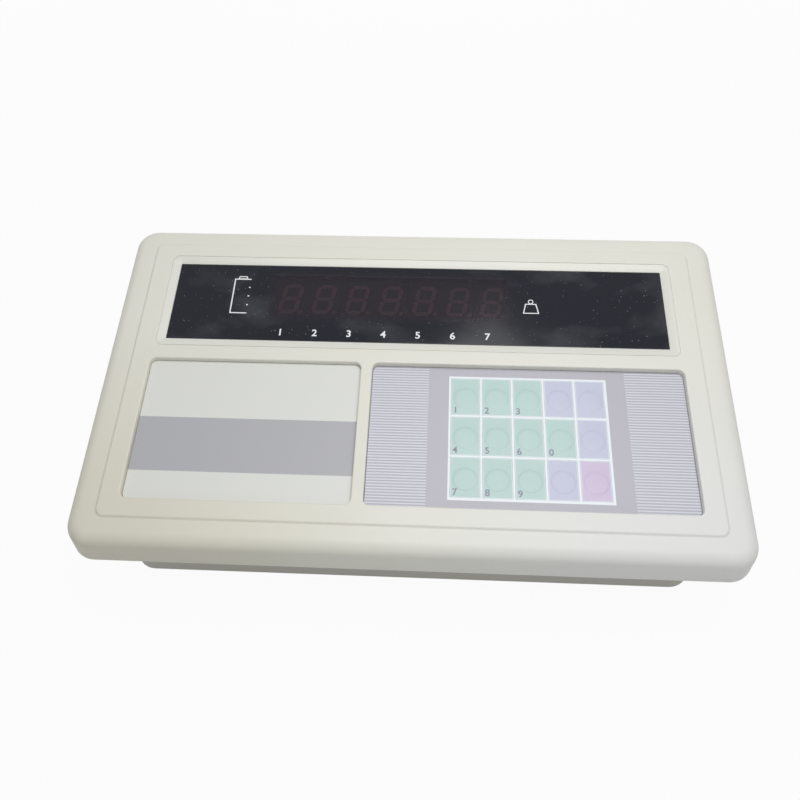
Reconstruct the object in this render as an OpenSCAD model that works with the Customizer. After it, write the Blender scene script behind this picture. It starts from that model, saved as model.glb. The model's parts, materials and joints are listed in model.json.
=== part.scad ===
// Desktop weighing indicator. A sloped two-part case carries a display window and a
// membrane keypad on its face, a power supply, a battery and a main board inside, and a
// steel panel of sockets at the back.
// X runs to the right, Y to the back and Z up. The origin is on the table, under the
// middle of the case. All lengths are in millimetres.

/* [Case] */
// Width of the lid
case_w = 342; // [338:1:380]
// Depth of the lid, front wall to back wall
case_d = 194; // [190:1:220]
// Height of the lid's front top edge above the table
front_h = 64; // [61:1:80]
// Slope of the face in degrees
face_tilt = 15; // [12:0.5:18]
// Height of the lid's upright walls
lid_wall_h = 17.5; // [16:0.5:22]
// Thickness of the moulded walls
wall = 3; // [2.5:0.1:3.4]
// Radius of the lid's corners, seen from above
lid_corner_r = 13; // [11:0.5:16]
// Rounding of the lid's top edge
lid_edge_r = 7; // [5:0.5:8]
// Gap between the lid and the base's flange
seam_gap = 0.4; // [0.3:0.1:0.6]

/* [Base] */
// How far the base's front wall stands behind the lid's
base_inset_front = 21; // [19:0.5:24]
// How far the base's back wall stands in front of the lid's
base_inset_back = 16; // [15:0.5:20]
// How far the base's side walls stand inside the lid's
base_inset_side = 17.5; // [16:0.5:19]
// Radius of the base's corners, seen from above
base_corner_r = 12; // [9:0.5:14]
// Bevel along the base's bottom edge
base_bevel = 1; // [1:0.5:4]
// Thickness of the flange under the lid's brim
flange_t = 2.5; // [2:0.5:3]
// How far the flange lies above the lid's bottom edge
flange_inset = 3; // [2.5:0.5:4]

/* [Face] */
// Height of the raised face above the rim
plateau_rise = 1; // [0.5:0.1:1.5]
// Width of the rim at each side of the raised face
rim_side = 15.7; // [14:0.1:17]
// Width of the rim in front of the raised face
rim_front = 13.4; // [12:0.1:15]
// Width of the rim behind the raised face
rim_back = 15.9; // [14:0.1:17]
// Corner radius of the raised face
plateau_r = 4; // [3:0.5:8]

/* [Display] */
// Length of the window plate down the slope
window_l = 52.2; // [50:0.1:56]
// Gap from the window plate's side to the raised face's side
window_side = 15.7; // [13:0.1:20]
// Gap from the window plate's back edge to the raised face's back edge
window_back = 13.4; // [11:0.1:16]
// Thickness of the window plate
window_t = 2.5; // [2:0.1:3]
// Depth of the window plate's surface below the raised face
window_sink = 1.5; // [1:0.1:2.5]
// Width of the sloping border round the window
window_bevel = 5; // [3:0.1:6]
// Width of the ledge that carries the window plate
window_ledge = 5; // [4:0.1:6]
// Number of digits
digit_count = 7; // [5:1:7]
// Distance between neighbouring digits
digit_pitch = 19.32; // [19.2:0.01:20]
// Width of one digit module
digit_w = 19; // [18:0.1:19.1]
// Length of one digit module down the slope
digit_l = 27.5; // [24:0.1:30]
// Thickness of one digit module
digit_t = 8; // [7:0.1:9]

/* [Blanking panel] */
// Depth of the blanking panel's surface below the raised face
blank_sink = 3; // [1.5:0.1:3.2]
// Thickness of the blanking panel
blank_t = 1.5; // [1:0.1:2]

/* [Keypad] */
// Gap from the recesses to the raised face's sides
recess_side = 10; // [8:0.1:12]
// Gap from the recesses to the raised face's front edge
recess_front = 9.7; // [8:0.1:12]
// Length of the bar between the window's border and the recesses
recess_bar = 8.64; // [6:0.01:10]
// Width of the bar between the two recesses
recess_gap = 6.3; // [5:0.1:7]
// Corner radius of the recesses
recess_r = 3.5; // [2:0.1:5]
// Width of the keypad's recess
keypad_w = 167.5; // [164:0.1:175]
// Depth of the keypad's surface below the raised face
keypad_sink = 3.5; // [2:0.1:4]
// Distance between neighbouring keys across
key_pitch_u = 16.51; // [16:0.01:17]
// Gap from the rows of keys to the keypad's front and back edges
key_margin = 6.2; // [5:0.1:8]
// Width of the printed bar between two keys
key_bar = 1.2; // [0.8:0.1:1.8]
// Gap round each key
key_gap = 0.2; // [0.15:0.05:0.4]
// Thickness of the overlay sheet
overlay_t = 1.1; // [1:0.05:1.4]
// Travel of a key
key_travel = 0.4; // [0.3:0.05:0.5]
// Gap from the raised dome to the key's sides
dome_edge = 1.25; // [1:0.05:2]
// Height of the raised dome on a key
dome_h = 0.4; // [0.3:0.1:0.6]

/* [Rear panel] */
// Thickness of the steel rear panel
panel_t = 1.5; // [1:0.1:2]
// Height of the rear panel
panel_h = 72; // [70:1:74]
// Height of the rear panel's lower edge above the base's underside
panel_rise = 9; // [8:0.5:11]
// Radius of the load cell socket's thread
socket_r = 8; // [7:0.1:9]
// Length of the load cell socket's thread
socket_l = 8; // [6:0.1:9]
// Tilt of the power rocker from level in degrees
rocker_tilt = 9; // [6:0.5:10]

/* [Inside] */
// Length of the battery
battery_w = 101; // [95:0.5:103]
// Gap from the battery to the base's front wall
battery_front = 7; // [5:0.5:12]
// Height of the battery
battery_h = 47; // [44:0.5:49]
// Gap from the main board to the base's front wall
board_front = 8; // [6:0.5:12]
// Gap from the main board to the base's back wall
board_back = 16; // [14:0.5:22]
// Thickness of the circuit boards
board_t = 1.6; // [1:0.1:2]
// Height of the stand-offs under the main board
standoff_h = 8; // [6:0.5:10]
// Width of the transformer core
core_w = 60; // [56:0.5:62]
// Height of the transformer core
core_h = 50; // [46:0.5:52]
// Depth of the transformer core
core_d = 24; // [20:0.5:25]

/* [Feet] */
// Height of the feet
foot_h = 5; // [4:0.5:7]
// Radius of the feet at the base
foot_r = 9; // [8:0.1:10]
// Distance of the feet from the middle of the case
foot_x = 77; // [70:0.5:90]
// Distance from the base's front and back walls to the feet
foot_inset = 12; // [12:0.5:16]

/* [Hidden] */
$fn = 48;
round_fn = 32;      // Facets of the rounded forms
over = 1;           // Overrun of every cut
hair = 0.1;         // Clearance of pieces that meet without moving
slip = 0.3;         // Clearance of pieces that pass each other
hex_fn = 6;

shell_col = "#DFDDD1";
base_col = "#D2D0C5";
blank_col = "#D9D9D6";
overlay_col = "#C6C6CD";
green_col = "#BED7CD";
lavender_col = "#C8CBDE";
pink_col = "#D5C3D9";
window_col = "#1B1C26";
steel_col = "#C9CCCE";
board_col = "#1F6B43";
black_col = "#1C1C1E";
copper_col = "#A0602C";
red_col = "#4A1A1C";

// Slope of the face
tilt_tan = tan(face_tilt);
tilt_cos = cos(face_tilt);
tilt_sin = sin(face_tilt);
// Length of the face down the slope
face_l = case_d / tilt_cos;
// Height of a plane n above the face, at depth y
function face_z(y, n = 0) = front_h + (y + case_d / 2) * tilt_tan + n / tilt_cos;
// Depth of a point s up the slope and n above the face, and the way back
function slope_y(s, n = 0) = -case_d / 2 + s * tilt_cos - n * tilt_sin;
function slope_s(y, n = 0) = (y + case_d / 2 + n * tilt_sin) / tilt_cos;

// Lid
lid_drop = lid_wall_h * tilt_cos;
flange_top_n = flange_inset + flange_t - lid_drop;
plateau_w = case_w - 2 * rim_side;
plateau_l = face_l - rim_front - rim_back;
plateau_s = rim_front + plateau_l / 2;

// Base
base_w = case_w - 2 * base_inset_side;
base_front = -case_d / 2 + base_inset_front;
base_back = case_d / 2 - base_inset_back;
base_d = base_back - base_front;
base_y = (base_back + base_front) / 2;
floor_z = foot_h + wall;
inner_w = base_w - 2 * wall;
inner_front = base_front + wall;

// Case screws: four at the corners and two at the middle of the sides
brim_x = case_w / 2 - (base_inset_side + wall) / 2;
brim_front = -case_d / 2 + (base_inset_front + wall) / 2;
brim_back = case_d / 2 - (base_inset_back + wall - panel_t) / 2;
case_screw_l = 9;
post_r = 3.6;
post_y = [brim_front, base_y, brim_back];

// Screws: shank radius, head radius and head height
screw_r = 1.5;
screw_hole_r = screw_r + 0.25;
head_r = 2.75;
head_h = 1.8;
chassis_screw_l = 7;
panel_screw_l = 7;
boss_r = 3.5;

// Display
window_w = plateau_w - 2 * window_side;
window_s = face_l - rim_back - window_back - window_l / 2;
window_top_n = plateau_rise - window_sink;
window_under_n = window_top_n - window_t;
ledge_t = 2;
ledge_under_n = window_under_n - ledge_t;
aperture_w = window_w - 2 * window_ledge;
aperture_l = window_l - 2 * window_ledge;
digit_gap = 0.5;
digit_top_n = window_under_n - digit_gap;
digit_under_n = digit_top_n - digit_t;
digit_mid_u = -14.65;
digit_mid_v = 4.8;
lamp_r = 1.5;
lamp_v = -14.5;
display_board_w = window_w - window_ledge;
display_board_l = window_l;
display_screw_u = display_board_w / 2 - boss_r;
display_screw_v = display_board_l / 2 - boss_r;
window_gap = 0.4;

// Recesses
recess_l = plateau_l - recess_front - recess_bar - window_bevel - window_l - window_back;
recess_s = rim_front + recess_front + recess_l / 2;
blank_w = plateau_w - 2 * recess_side - recess_gap - keypad_w;
blank_u = -plateau_w / 2 + recess_side + blank_w / 2;
keypad_u = plateau_w / 2 - recess_side - keypad_w / 2;
recess_clear = 0.2;
blank_top_n = plateau_rise - blank_sink;
blank_under_n = blank_top_n - blank_t;
pan_t = 2.5;

// Keypad layers, from the top
key_cols = 5;
key_rows = 3;
overlay_top_n = plateau_rise - keypad_sink;
overlay_under_n = overlay_top_n - overlay_t;
key_stop = 0.05;
key_t = overlay_t - key_travel - key_stop;
key_pitch_v = (recess_l - 2 * key_margin) / key_rows;
key_hole_w = key_pitch_u - key_bar;
key_hole_l = key_pitch_v - key_bar;
key_w = key_hole_w - 2 * key_gap;
key_l = key_hole_l - 2 * key_gap;
dome_share = 0.055;
dome_v = -key_l * dome_share;
dome_r = min(key_w, key_l) / 2 - dome_edge;
spacer_t = 0.8;
spacer_under_n = overlay_under_n - spacer_t;
circuit_t = 0.5;
circuit_under_n = spacer_under_n - circuit_t;
snap_r = 4.6;
snap_top_r = 3;
snap_h = spacer_t - 2 * key_stop;
snap_hole_r = snap_r + slip;
tail_w = 20;
tail_t = 0.5;
tail_u = keypad_w / 2 - tail_w;
tail_slot = 2.4;

// Key labels, from the back row to the front row
KEYS = [["key_1", "key_2", "key_3", "key_tare", "key_input"],
        ["key_4", "key_5", "key_6", "key_0", "key_weigh"],
        ["key_7", "key_8", "key_9", "key_print", "key_zero"]];

// Rear panel
panel_w = base_w - 2 * base_corner_r - 2 * over;
panel_bottom = foot_h + panel_rise;
panel_z = panel_bottom + panel_h / 2;
panel_face = base_back + panel_t;
panel_screw_x = panel_w / 2 - boss_r;
panel_screw_z = panel_h / 2 - boss_r - over;
panel_edge = 2 * (boss_r + over);
back_hole_w = panel_w - 2 * panel_edge;
back_hole_h = panel_h - 2 * panel_edge;
plate_r = 2;

// Places across the panel, as shares of its width: the inlet, the switch, the fuse
// holder, the load cell socket and the three D-type sockets
panel_shares = [-0.372, -0.219, -0.119, -0.005, 0.148, 0.326, 0.237];

// Mains inlet
inlet_x = panel_w * panel_shares[0];
inlet_flange = [50, 24];
inlet_flange_t = 2;
inlet_body = [27, 19.6];
inlet_body_l = 24;
inlet_cavity = [24.4, 16.6];
inlet_cavity_l = 17;
inlet_chamfer = 4;
inlet_screw_x = 20;
blade_t = 2;
blade_h = 4;
blade_l = 12.5;
blade_pitch = 14;
blade_live_z = -1.2;
blade_earth_z = 3.4;
tab_l = 7;
tab_t = 0.8;

// Power switch
switch_x = panel_w * panel_shares[1];
switch_bezel = [15, 21];
switch_bezel_t = 2;
switch_body = [13, 19.2];
switch_body_l = 18;
rocker_w = 10.6;
rocker_half = 8;
rocker_edge = 2;
rocker_valley = 1;
rocker_belly = 5;
rocker_belly_half = 2;
pivot_in = 1;
pocket_half = 8.7;
pocket_deep = 6.5;
pin_r = 1;
pin_l = 0.7;
pin_gap = 0.08;

// Fuse holder
fuse_x = panel_w * panel_shares[2];
fuse_flange_r = 8;
fuse_flange_t = 2;
fuse_body_r = 6;
fuse_body_l = 34;
fuse_bore_r = 4;
fuse_knob_r = 6.5;
fuse_knob_h = 7;
fuse_stem_r = fuse_bore_r - slip - hair;
fuse_stem_l = 8;
fuse_r = 2.5;
fuse_l = 20;
fuse_slot_w = 1.4;
fuse_slot_d = 1.2;
nut_t = 3;
nut_rim = 3;

// Load cell socket
socket_x = panel_w * panel_shares[3];
socket_flange_r = 10.5;
socket_flange_t = 2.5;
socket_body_l = 15;
socket_core_r = 6.4;
socket_face_sink = 0.8;

// D-type sockets: half of the shell's width, the screw spacing and the place on the panel
d_halves = [8.2, 12.35, 19.2];
d_spacings = [25, 33.3, 47.1];
d_rise = 14;
d_shell_h = 8.4;
d_shell_out = 6;
d_slant = 1.5;
d_flange_h = 12.5;
d_flange_t = 1;
d_flange_end = 2.9;
d_body_l = 9;
D_SOCKETS = [[d_halves[0], d_spacings[0], panel_w * panel_shares[4], d_rise],
             [d_halves[1], d_spacings[1], panel_w * panel_shares[5], d_rise],
             [d_halves[2], d_spacings[2], panel_w * panel_shares[6], -d_rise]];
jack_r = 2.7;
jack_l = 5;
jack_hole_r = 1.3;

// Calibration cover, held by two screws
cover = [30, 13];
cover_t = 1;
cover_x = (switch_x + fuse_x) / 2;
cover_z = 23.5;
cover_screw_x = 11;

// Battery and its strap
battery_clear = 0.5;
strap_ear = 13;
battery_x = -inner_w / 2 + strap_ear + over + battery_w / 2;
rib_h = 10;
rib_t = 2;
coil_bulge = 7;
coil_d = core_d + 2 * coil_bulge;
core_gap = battery_clear + rib_t + over;
lead_room = 4.5;
inlet_tabs_y = base_back - inlet_body_l - tab_l;
battery_d = inlet_tabs_y - lead_room - coil_d - core_gap - inner_front - battery_front;
battery_y = inner_front + battery_front + battery_d / 2;
strap_w = 16;
strap_t = 1.2;

// Main board
board_gap = 5;
board_side = 3.5;
board_x0 = battery_x + battery_w / 2 + strap_ear + board_gap;
board_x1 = inner_w / 2 - board_side;
board_w = board_x1 - board_x0;
board_x = (board_x0 + board_x1) / 2;
board_y0 = inner_front + board_front;
board_d = base_d - 2 * wall - board_front - board_back;
board_y = board_y0 + board_d / 2;
board_z = floor_z + standoff_h;
board_top = board_z + board_t;
board_hole = 5;
standoff_r = 3.4;

// Transformer
plinth_h = 5;
core_x = battery_x - over;
core_y = battery_y + battery_d / 2 + core_gap + coil_d / 2;
core_z = floor_z + plinth_h;
core_leg = core_w / 6;
bracket_t = 1.2;
bracket_ear = 10;
boss_hole_l = 6;

// Pieces on the main board: [width, depth, height], as places from its back left corner
chip_h = 4;
chips = [[26, 26], [38, 14], [30, 12], [20, 10]];
chip_shares = [[0.5, 0.5], [0.5, 0.28], [0.78, 0.42], [0.2, 0.35]];
shield = [44, 32, 12];
shield_shares = [0.3, 0.75];
cap_r = 6;
cap_h = 18;
cap_shares = [0.06, 0.14, 0.22];
cap_y_share = 0.14;
buzzer_r = 6;
buzzer_h = 9;
buzzer_share = [0.84, 0.62];
sink_w = 30;
sink_h = 26;
sink_d = 14;
sink_web = 2.5;
sink_fins = 5;
sink_share = [0.13, 0.56];
regulator = [10, 4.5, 15];
header_h = 9;
header_d = 6;
header_w = 26;
ribbon_share = 0.72;
ribbon_v_share = 0.2;

// Mains leads
lead_r = 1.1;
lead_fn = 16;

// Places children on the face: X across, Y up the slope from its front edge, Z outwards
module on_face(u = 0, s = 0, n = 0)
    translate([0, -case_d / 2, front_h]) rotate([face_tilt, 0, 0])
        translate([u, s, n]) children();

// Places children on the rear panel: X across, Y up the panel, Z outwards to the back
module on_panel(x = 0, z = 0, out = 0)
    translate([x, panel_face + out, panel_z + z]) rotate([-90, 0, 0]) mirror([0, 1, 0])
        children();

// Rectangle with round corners, centred
module round_rect(w, d, r) {
    square([w - 2 * r, d], center = true);
    square([w, d - 2 * r], center = true);
    for (x = [-1, 1], y = [-1, 1])
        translate([x * (w / 2 - r), y * (d / 2 - r)]) circle(r);
}

module round_plate(w, d, r, h) linear_extrude(h) round_rect(w, d, r);

module box(w, d, h) translate([-w / 2, -d / 2, 0]) cube([w, d, h]);

module ring(r_out, r_in, h) difference() {
    cylinder(r = r_out, h = h);
    translate([0, 0, -over]) cylinder(r = r_in, h = h + 2 * over);
}

// Screw with its head's underside at the origin, pointing down
module screw(l) {
    cylinder(r = head_r, h = head_h);
    translate([0, 0, -l]) cylinder(r = screw_r, h = l);
}

// Everything below a plane parallel to the face
module under_face(n) on_face(-case_w, -case_d, n - 2 * front_h)
    cube([2 * case_w, 3 * case_d, 2 * front_h]);

// Everything above a plane parallel to the face
module over_face(n) on_face(-case_w, -case_d, n) cube([2 * case_w, 3 * case_d, 2 * front_h]);

// Upper shell

// Round disc of radius r with a rounded rim
module soft_disc(r, edge) rotate_extrude($fn = round_fn) intersection() {
    translate([r - edge, 0]) circle(edge);
    translate([0, -edge]) square([r, 2 * edge]);
}

// Solid form of the lid, drawn in by inset from its outer faces
module lid_form(inset, edge) hull() for (x = [-1, 1], y = [-1, 1]) {
    cx = x * (case_w / 2 - lid_corner_r);
    cy = y * (case_d / 2 - lid_corner_r);
    r = lid_corner_r - inset;
    translate([cx, cy, face_z(cy, -inset - edge)]) rotate([face_tilt, 0, 0])
        soft_disc(r, edge);
    translate([cx, cy, face_z(cy, -lid_drop - wall) - r * tilt_tan])
        cylinder(r = r, h = lid_wall_h - lid_edge_r, $fn = round_fn);
}

module lid_skin() difference() {
    lid_form(0, lid_edge_r);
    lid_form(wall, lid_edge_r - wall);
    under_face(-lid_drop);
}

// Pan under a recess: its floor and its low walls
module pan(u, w, floor_n) on_face(u, recess_s, floor_n - pan_t)
    round_plate(w + 2 * wall, recess_l + 2 * wall, recess_r + wall, pan_t + wall);

module recess_cut(u, w, floor_n) on_face(u, recess_s, floor_n)
    round_plate(w, recess_l, recess_r, plateau_rise - floor_n + over);

module window_well() on_face(0, window_s, ledge_under_n)
    box(window_w + 2 * wall, window_l + 2 * wall, -ledge_under_n);

// Sloping border, seat and aperture of the window
module window_cut() {
    on_face(0, window_s, window_top_n) hull() {
        box(window_w + 2 * window_gap, window_l + 2 * window_gap, hair);
        translate([0, 0, window_sink])
            box(window_w + 2 * window_bevel, window_l + 2 * window_bevel, hair);
    }
    on_face(0, window_s, window_under_n)
        box(window_w + 2 * window_gap, window_l + 2 * window_gap, window_t + hair);
    on_face(0, window_s, ledge_under_n - over) box(aperture_w, aperture_l, ledge_t + 2 * over);
}

module at_case_screws(n) for (x = [-1, 1], y = post_y)
    on_face(x * brim_x, slope_s(y, flange_top_n), n) children();

module at_display_screws(n) for (x = [-1, 1], y = [-1, 1])
    on_face(x * display_screw_u, window_s + y * display_screw_v, n) children();

module upper_shell() color(shell_col) difference() {
    union() {
        lid_skin();
        on_face(0, plateau_s, -wall)
            round_plate(plateau_w, plateau_l, plateau_r, wall + plateau_rise);
        window_well();
        pan(blank_u, blank_w, blank_under_n);
        pan(keypad_u, keypad_w, circuit_under_n);
        at_case_screws(flange_top_n) cylinder(r = post_r, h = -flange_top_n - wall / 2);
        at_display_screws(digit_under_n)
            cylinder(r = boss_r, h = ledge_under_n - digit_under_n + ledge_t / 2);
    }
    window_cut();
    recess_cut(blank_u, blank_w, blank_under_n);
    recess_cut(keypad_u, keypad_w, circuit_under_n);
    on_face(keypad_u + tail_u, recess_s, circuit_under_n - pan_t - over)
        box(tail_w + 2 * slip, tail_slot, pan_t + 2 * over);
    at_case_screws(flange_top_n - over) cylinder(r = screw_hole_r, h = case_screw_l + over);
    at_display_screws(digit_under_n - over)
        cylinder(r = screw_hole_r, h = chassis_screw_l + over);
}

// Lower shell

module base_form() hull() for (x = [-1, 1], y = [-1, 1])
    translate([x * (base_w / 2 - base_corner_r), base_y + y * (base_d / 2 - base_corner_r),
        foot_h]) {
        cylinder(r = base_corner_r - base_bevel, h = over, $fn = round_fn);
        translate([0, 0, base_bevel])
            cylinder(r = base_corner_r, h = face_z(base_back), $fn = round_fn);
    }

module flange() difference() {
    linear_extrude(face_z(case_d / 2))
        round_rect(case_w - 2 * (wall + seam_gap), case_d - 2 * (wall + seam_gap),
            lid_corner_r - wall - seam_gap);
    under_face(flange_top_n - flange_t);
    over_face(flange_top_n);
}

module at_feet(z) for (x = [-foot_x, foot_x], y = [base_front + foot_inset,
    base_back - foot_inset]) translate([x, y, z]) children();

module at_board_screws(z) for (x = [board_x0 + board_hole, board_x1 - board_hole],
    y = [board_y - board_d / 2 + board_hole, board_y + board_d / 2 - board_hole])
    translate([x, y, z]) children();

module at_strap_screws(z) for (x = [-1, 1])
    translate([battery_x + x * (battery_w / 2 + battery_clear + strap_ear / 2), battery_y, z])
        children();

module at_bracket_screws(z) for (x = [-1, 1])
    translate([core_x + x * (core_w / 2 + slip + bracket_ear / 2 + bracket_t / 2), core_y, z])
        children();

module at_panel_screws(out) for (x = [-1, 1], z = [-1, 1])
    on_panel(x * panel_screw_x, z * panel_screw_z, out) children();

module floor_boss(l) ring(boss_r, screw_hole_r, l);

module battery_ribs() difference() {
    box(battery_w + 2 * (battery_clear + rib_t), battery_d + 2 * (battery_clear + rib_t), rib_h);
    translate([0, 0, -over])
        box(battery_w + 2 * battery_clear, battery_d + 2 * battery_clear, rib_h + 2 * over);
    translate([0, 0, -over]) box(battery_w + strap_ear, strap_w + 2 * over, rib_h + 2 * over);
}

module battery_rails() for (y = [-1, 1]) translate([0, y * battery_d / 4, 0])
    box(battery_w, rib_t, plinth_h);

module lower_shell() color(base_col) {
    difference() {
        union() {
            difference() {
                base_form();
                over_face(flange_top_n - flange_t / 2);
            }
            flange();
        }
        translate([0, base_y, floor_z])
            round_plate(inner_w, base_d - 2 * wall, base_corner_r - wall, face_z(case_d));
        translate([0, base_back - wall - over, panel_z - back_hole_h / 2])
            translate([-back_hole_w / 2, 0]) cube([back_hole_w, wall + 2 * over, back_hole_h]);
        at_case_screws(flange_top_n - flange_t - over)
            cylinder(r = screw_hole_r, h = flange_t + 2 * over);
        at_feet(foot_h - over) cylinder(r = screw_hole_r, h = wall + 2 * over);
        at_panel_screws(-panel_t - wall - over)
            cylinder(r = screw_hole_r, h = wall + 2 * over);
    }
    at_feet(floor_z) floor_boss(plinth_h);
    at_strap_screws(floor_z) floor_boss(plinth_h);
    at_bracket_screws(floor_z) floor_boss(plinth_h);
    at_panel_screws(-panel_t - wall - boss_hole_l) floor_boss(boss_hole_l);
    translate([core_x, core_y, floor_z]) box(core_w, core_d, plinth_h);
    translate([battery_x, battery_y, floor_z]) {
        battery_ribs();
        battery_rails();
    }
}

// Rear panel

module d_profile(half, grow = 0) polygon([
    [-half - grow, d_shell_h / 2 + grow], [half + grow, d_shell_h / 2 + grow],
    [half - d_slant + grow, -d_shell_h / 2 - grow],
    [-half + d_slant - grow, -d_shell_h / 2 - grow]]);

module at_d_sockets(out) for (d = D_SOCKETS) on_panel(d[2], d[3], out) {
    $half = d[0];
    $spacing = d[1];
    children();
}

module at_jack_screws(out) for (d = D_SOCKETS, x = [-1, 1])
    on_panel(d[2] + x * d[1] / 2, d[3], out) children();

module at_inlet_screws(out) for (x = [-1, 1])
    on_panel(inlet_x + x * inlet_screw_x, 0, out) children();

module at_cover_screws(out) for (x = [-1, 1])
    on_panel(cover_x + x * cover_screw_x, cover_z, out) children();

module rear_panel() color(steel_col) difference() {
    on_panel(0, 0, -panel_t) round_plate(panel_w, panel_h, over, panel_t);
    at_panel_screws(-panel_t - over) cylinder(r = screw_hole_r, h = panel_t + 2 * over);
    at_inlet_screws(-panel_t - over) cylinder(r = screw_hole_r, h = panel_t + 2 * over);
    at_cover_screws(-panel_t - over) cylinder(r = screw_hole_r, h = panel_t + 2 * over);
    at_jack_screws(-panel_t - over) cylinder(r = screw_hole_r, h = panel_t + 2 * over);
    at_d_sockets(-panel_t - over) linear_extrude(panel_t + 2 * over) d_profile($half, slip);
    on_panel(inlet_x, 0, -panel_t - over)
        box(inlet_body[0] + slip, inlet_body[1] + slip, panel_t + 2 * over);
    on_panel(switch_x, 0, -panel_t - over)
        box(switch_body[0] + slip, switch_body[1] + slip, panel_t + 2 * over);
    on_panel(fuse_x, 0, -panel_t - over)
        cylinder(r = fuse_body_r + hair, h = panel_t + 2 * over);
    on_panel(socket_x, 0, -panel_t - over)
        cylinder(r = socket_r + hair, h = panel_t + 2 * over);
}

// Display

module display_window() color(window_col, 0.8)
    on_face(0, window_s, window_under_n) box(window_w, window_l, window_t);

module display_board() color(board_col) difference() {
    on_face(0, window_s, digit_under_n - board_t) box(display_board_w, display_board_l, board_t);
    at_display_screws(digit_under_n - board_t - over)
        cylinder(r = screw_hole_r, h = board_t + 2 * over);
}

module at_digits(v, n) for (i = [0 : digit_count - 1])
    on_face(digit_mid_u + (i - (digit_count - 1) / 2) * digit_pitch, window_s + v, n) children();

module digit_modules() color(red_col) at_digits(digit_mid_v, digit_under_n)
    box(digit_w, digit_l, digit_t);

module status_lamps() color(red_col) at_digits(lamp_v, digit_under_n) {
    cylinder(r = lamp_r, h = digit_t - lamp_r);
    translate([0, 0, digit_t - lamp_r]) sphere(lamp_r);
}

// Blanking panel and keypad

module blanking_panel() color(blank_col) on_face(blank_u, recess_s, blank_under_n)
    round_plate(blank_w - 2 * recess_clear, recess_l - 2 * recess_clear,
        recess_r - recess_clear, blank_t);

module keypad_sheet(under_n, t) on_face(keypad_u, recess_s, under_n)
    round_plate(keypad_w - 2 * recess_clear, recess_l - 2 * recess_clear,
        recess_r - recess_clear, t);

module at_key(col, row, v, n)
    on_face(keypad_u + (col - (key_cols - 1) / 2) * key_pitch_u,
        recess_s + ((key_rows - 1) / 2 - row) * key_pitch_v + v, n) children();

module at_keys(v, n) for (col = [0 : key_cols - 1], row = [0 : key_rows - 1])
    at_key(col, row, v, n) children();

module keypad_overlay() color(overlay_col) difference() {
    keypad_sheet(overlay_under_n, overlay_t);
    at_keys(0, overlay_under_n - over) box(key_hole_w, key_hole_l, overlay_t + 2 * over);
}

module keypad_spacer() color(blank_col) difference() {
    keypad_sheet(spacer_under_n, spacer_t);
    at_keys(dome_v, spacer_under_n - over) cylinder(r = snap_hole_r, h = spacer_t + 2 * over);
}

module keypad_circuit() color(board_col) difference() {
    keypad_sheet(circuit_under_n, circuit_t);
    on_face(keypad_u + tail_u, recess_s, circuit_under_n - over)
        box(tail_w + 2 * slip, tail_slot, circuit_t + 2 * over);
}

module snap_domes() color(steel_col) at_keys(dome_v, spacer_under_n)
    cylinder(r1 = snap_r, r2 = snap_top_r, h = snap_h);

// Flat tail that hangs through the slot to its header on the main board
module keypad_tail() color(copper_col) {
    y = slope_y(recess_s, circuit_under_n);
    translate([keypad_u + tail_u - tail_w / 2, y - tail_t / 2, board_top + header_h])
        cube([tail_w, tail_t, face_z(y, circuit_under_n) - board_top - header_h]);
}

function key_colour(label) =
    label == "key_zero" ? pink_col
    : label == "key_tare" || label == "key_input" || label == "key_weigh"
        || label == "key_print" ? lavender_col
    : green_col;

// Key named by its place: a flat plate with a low round dome
module keypad_key(label) for (row = [0 : key_rows - 1], col = [0 : key_cols - 1])
    if (KEYS[row][col] == label) color(key_colour(label)) {
        at_key(col, row, 0, overlay_top_n - key_t) box(key_w, key_l, key_t);
        at_key(col, row, dome_v, overlay_top_n - key_t / 2)
            cylinder(r1 = dome_r + dome_h, r2 = dome_r, h = dome_h + key_t / 2);
    }

// Main board and its pieces

function board_at(share) =
    [board_x0 + share[0] * board_w, board_y + board_d * (1 / 2 - share[1]), board_top];

module main_board() color(board_col) difference() {
    translate([board_x, board_y, board_z]) box(board_w, board_d, board_t);
    at_board_screws(board_z - over) cylinder(r = screw_hole_r, h = board_t + 2 * over);
}

module board_chips() color(black_col) for (i = [0 : len(chips) - 1])
    translate(board_at(chip_shares[i])) box(chips[i][0], chips[i][1], chip_h);

module shield_can() color(steel_col) translate(board_at(shield_shares))
    box(shield[0], shield[1], shield[2]);

module filter_capacitors() color("#23304A") for (share = cap_shares)
    translate(board_at([share, cap_y_share])) cylinder(r = cap_r, h = cap_h);

module buzzer() color(black_col) translate(board_at(buzzer_share)) difference() {
    cylinder(r = buzzer_r, h = buzzer_h);
    translate([0, 0, buzzer_h - over]) cylinder(r = over, h = 2 * over);
}

module heat_sink() color("#30333A") translate(board_at(sink_share)) {
    box(sink_w, sink_web, sink_h);
    for (i = [0 : sink_fins - 1])
        translate([(i / (sink_fins - 1) - 1 / 2) * (sink_w - sink_web), sink_d / 2 - sink_web / 2, 0])
            box(sink_web / 2, sink_d - sink_web, sink_h);
}

module regulator_chip() color(black_col) translate(board_at(sink_share))
    translate([0, -(sink_web + regulator[1]) / 2, 0]) box(regulator[0], regulator[1], regulator[2]);

// Depth of the display ribbon, straight under the middle of the display board
ribbon_n = digit_under_n - board_t;
ribbon_u = board_x0 + board_w * ribbon_share;
ribbon_y = slope_y(window_s - display_board_l * ribbon_v_share, ribbon_n);

module ribbon_headers() color(black_col) {
    translate([ribbon_u, ribbon_y, board_top]) box(header_w, header_d, header_h);
    translate([keypad_u + tail_u, slope_y(recess_s, circuit_under_n), board_top])
        box(header_w, header_d, header_h);
    on_face(ribbon_u, slope_s(ribbon_y, ribbon_n), ribbon_n - header_h)
        box(header_w, header_d, header_h);
}

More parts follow.
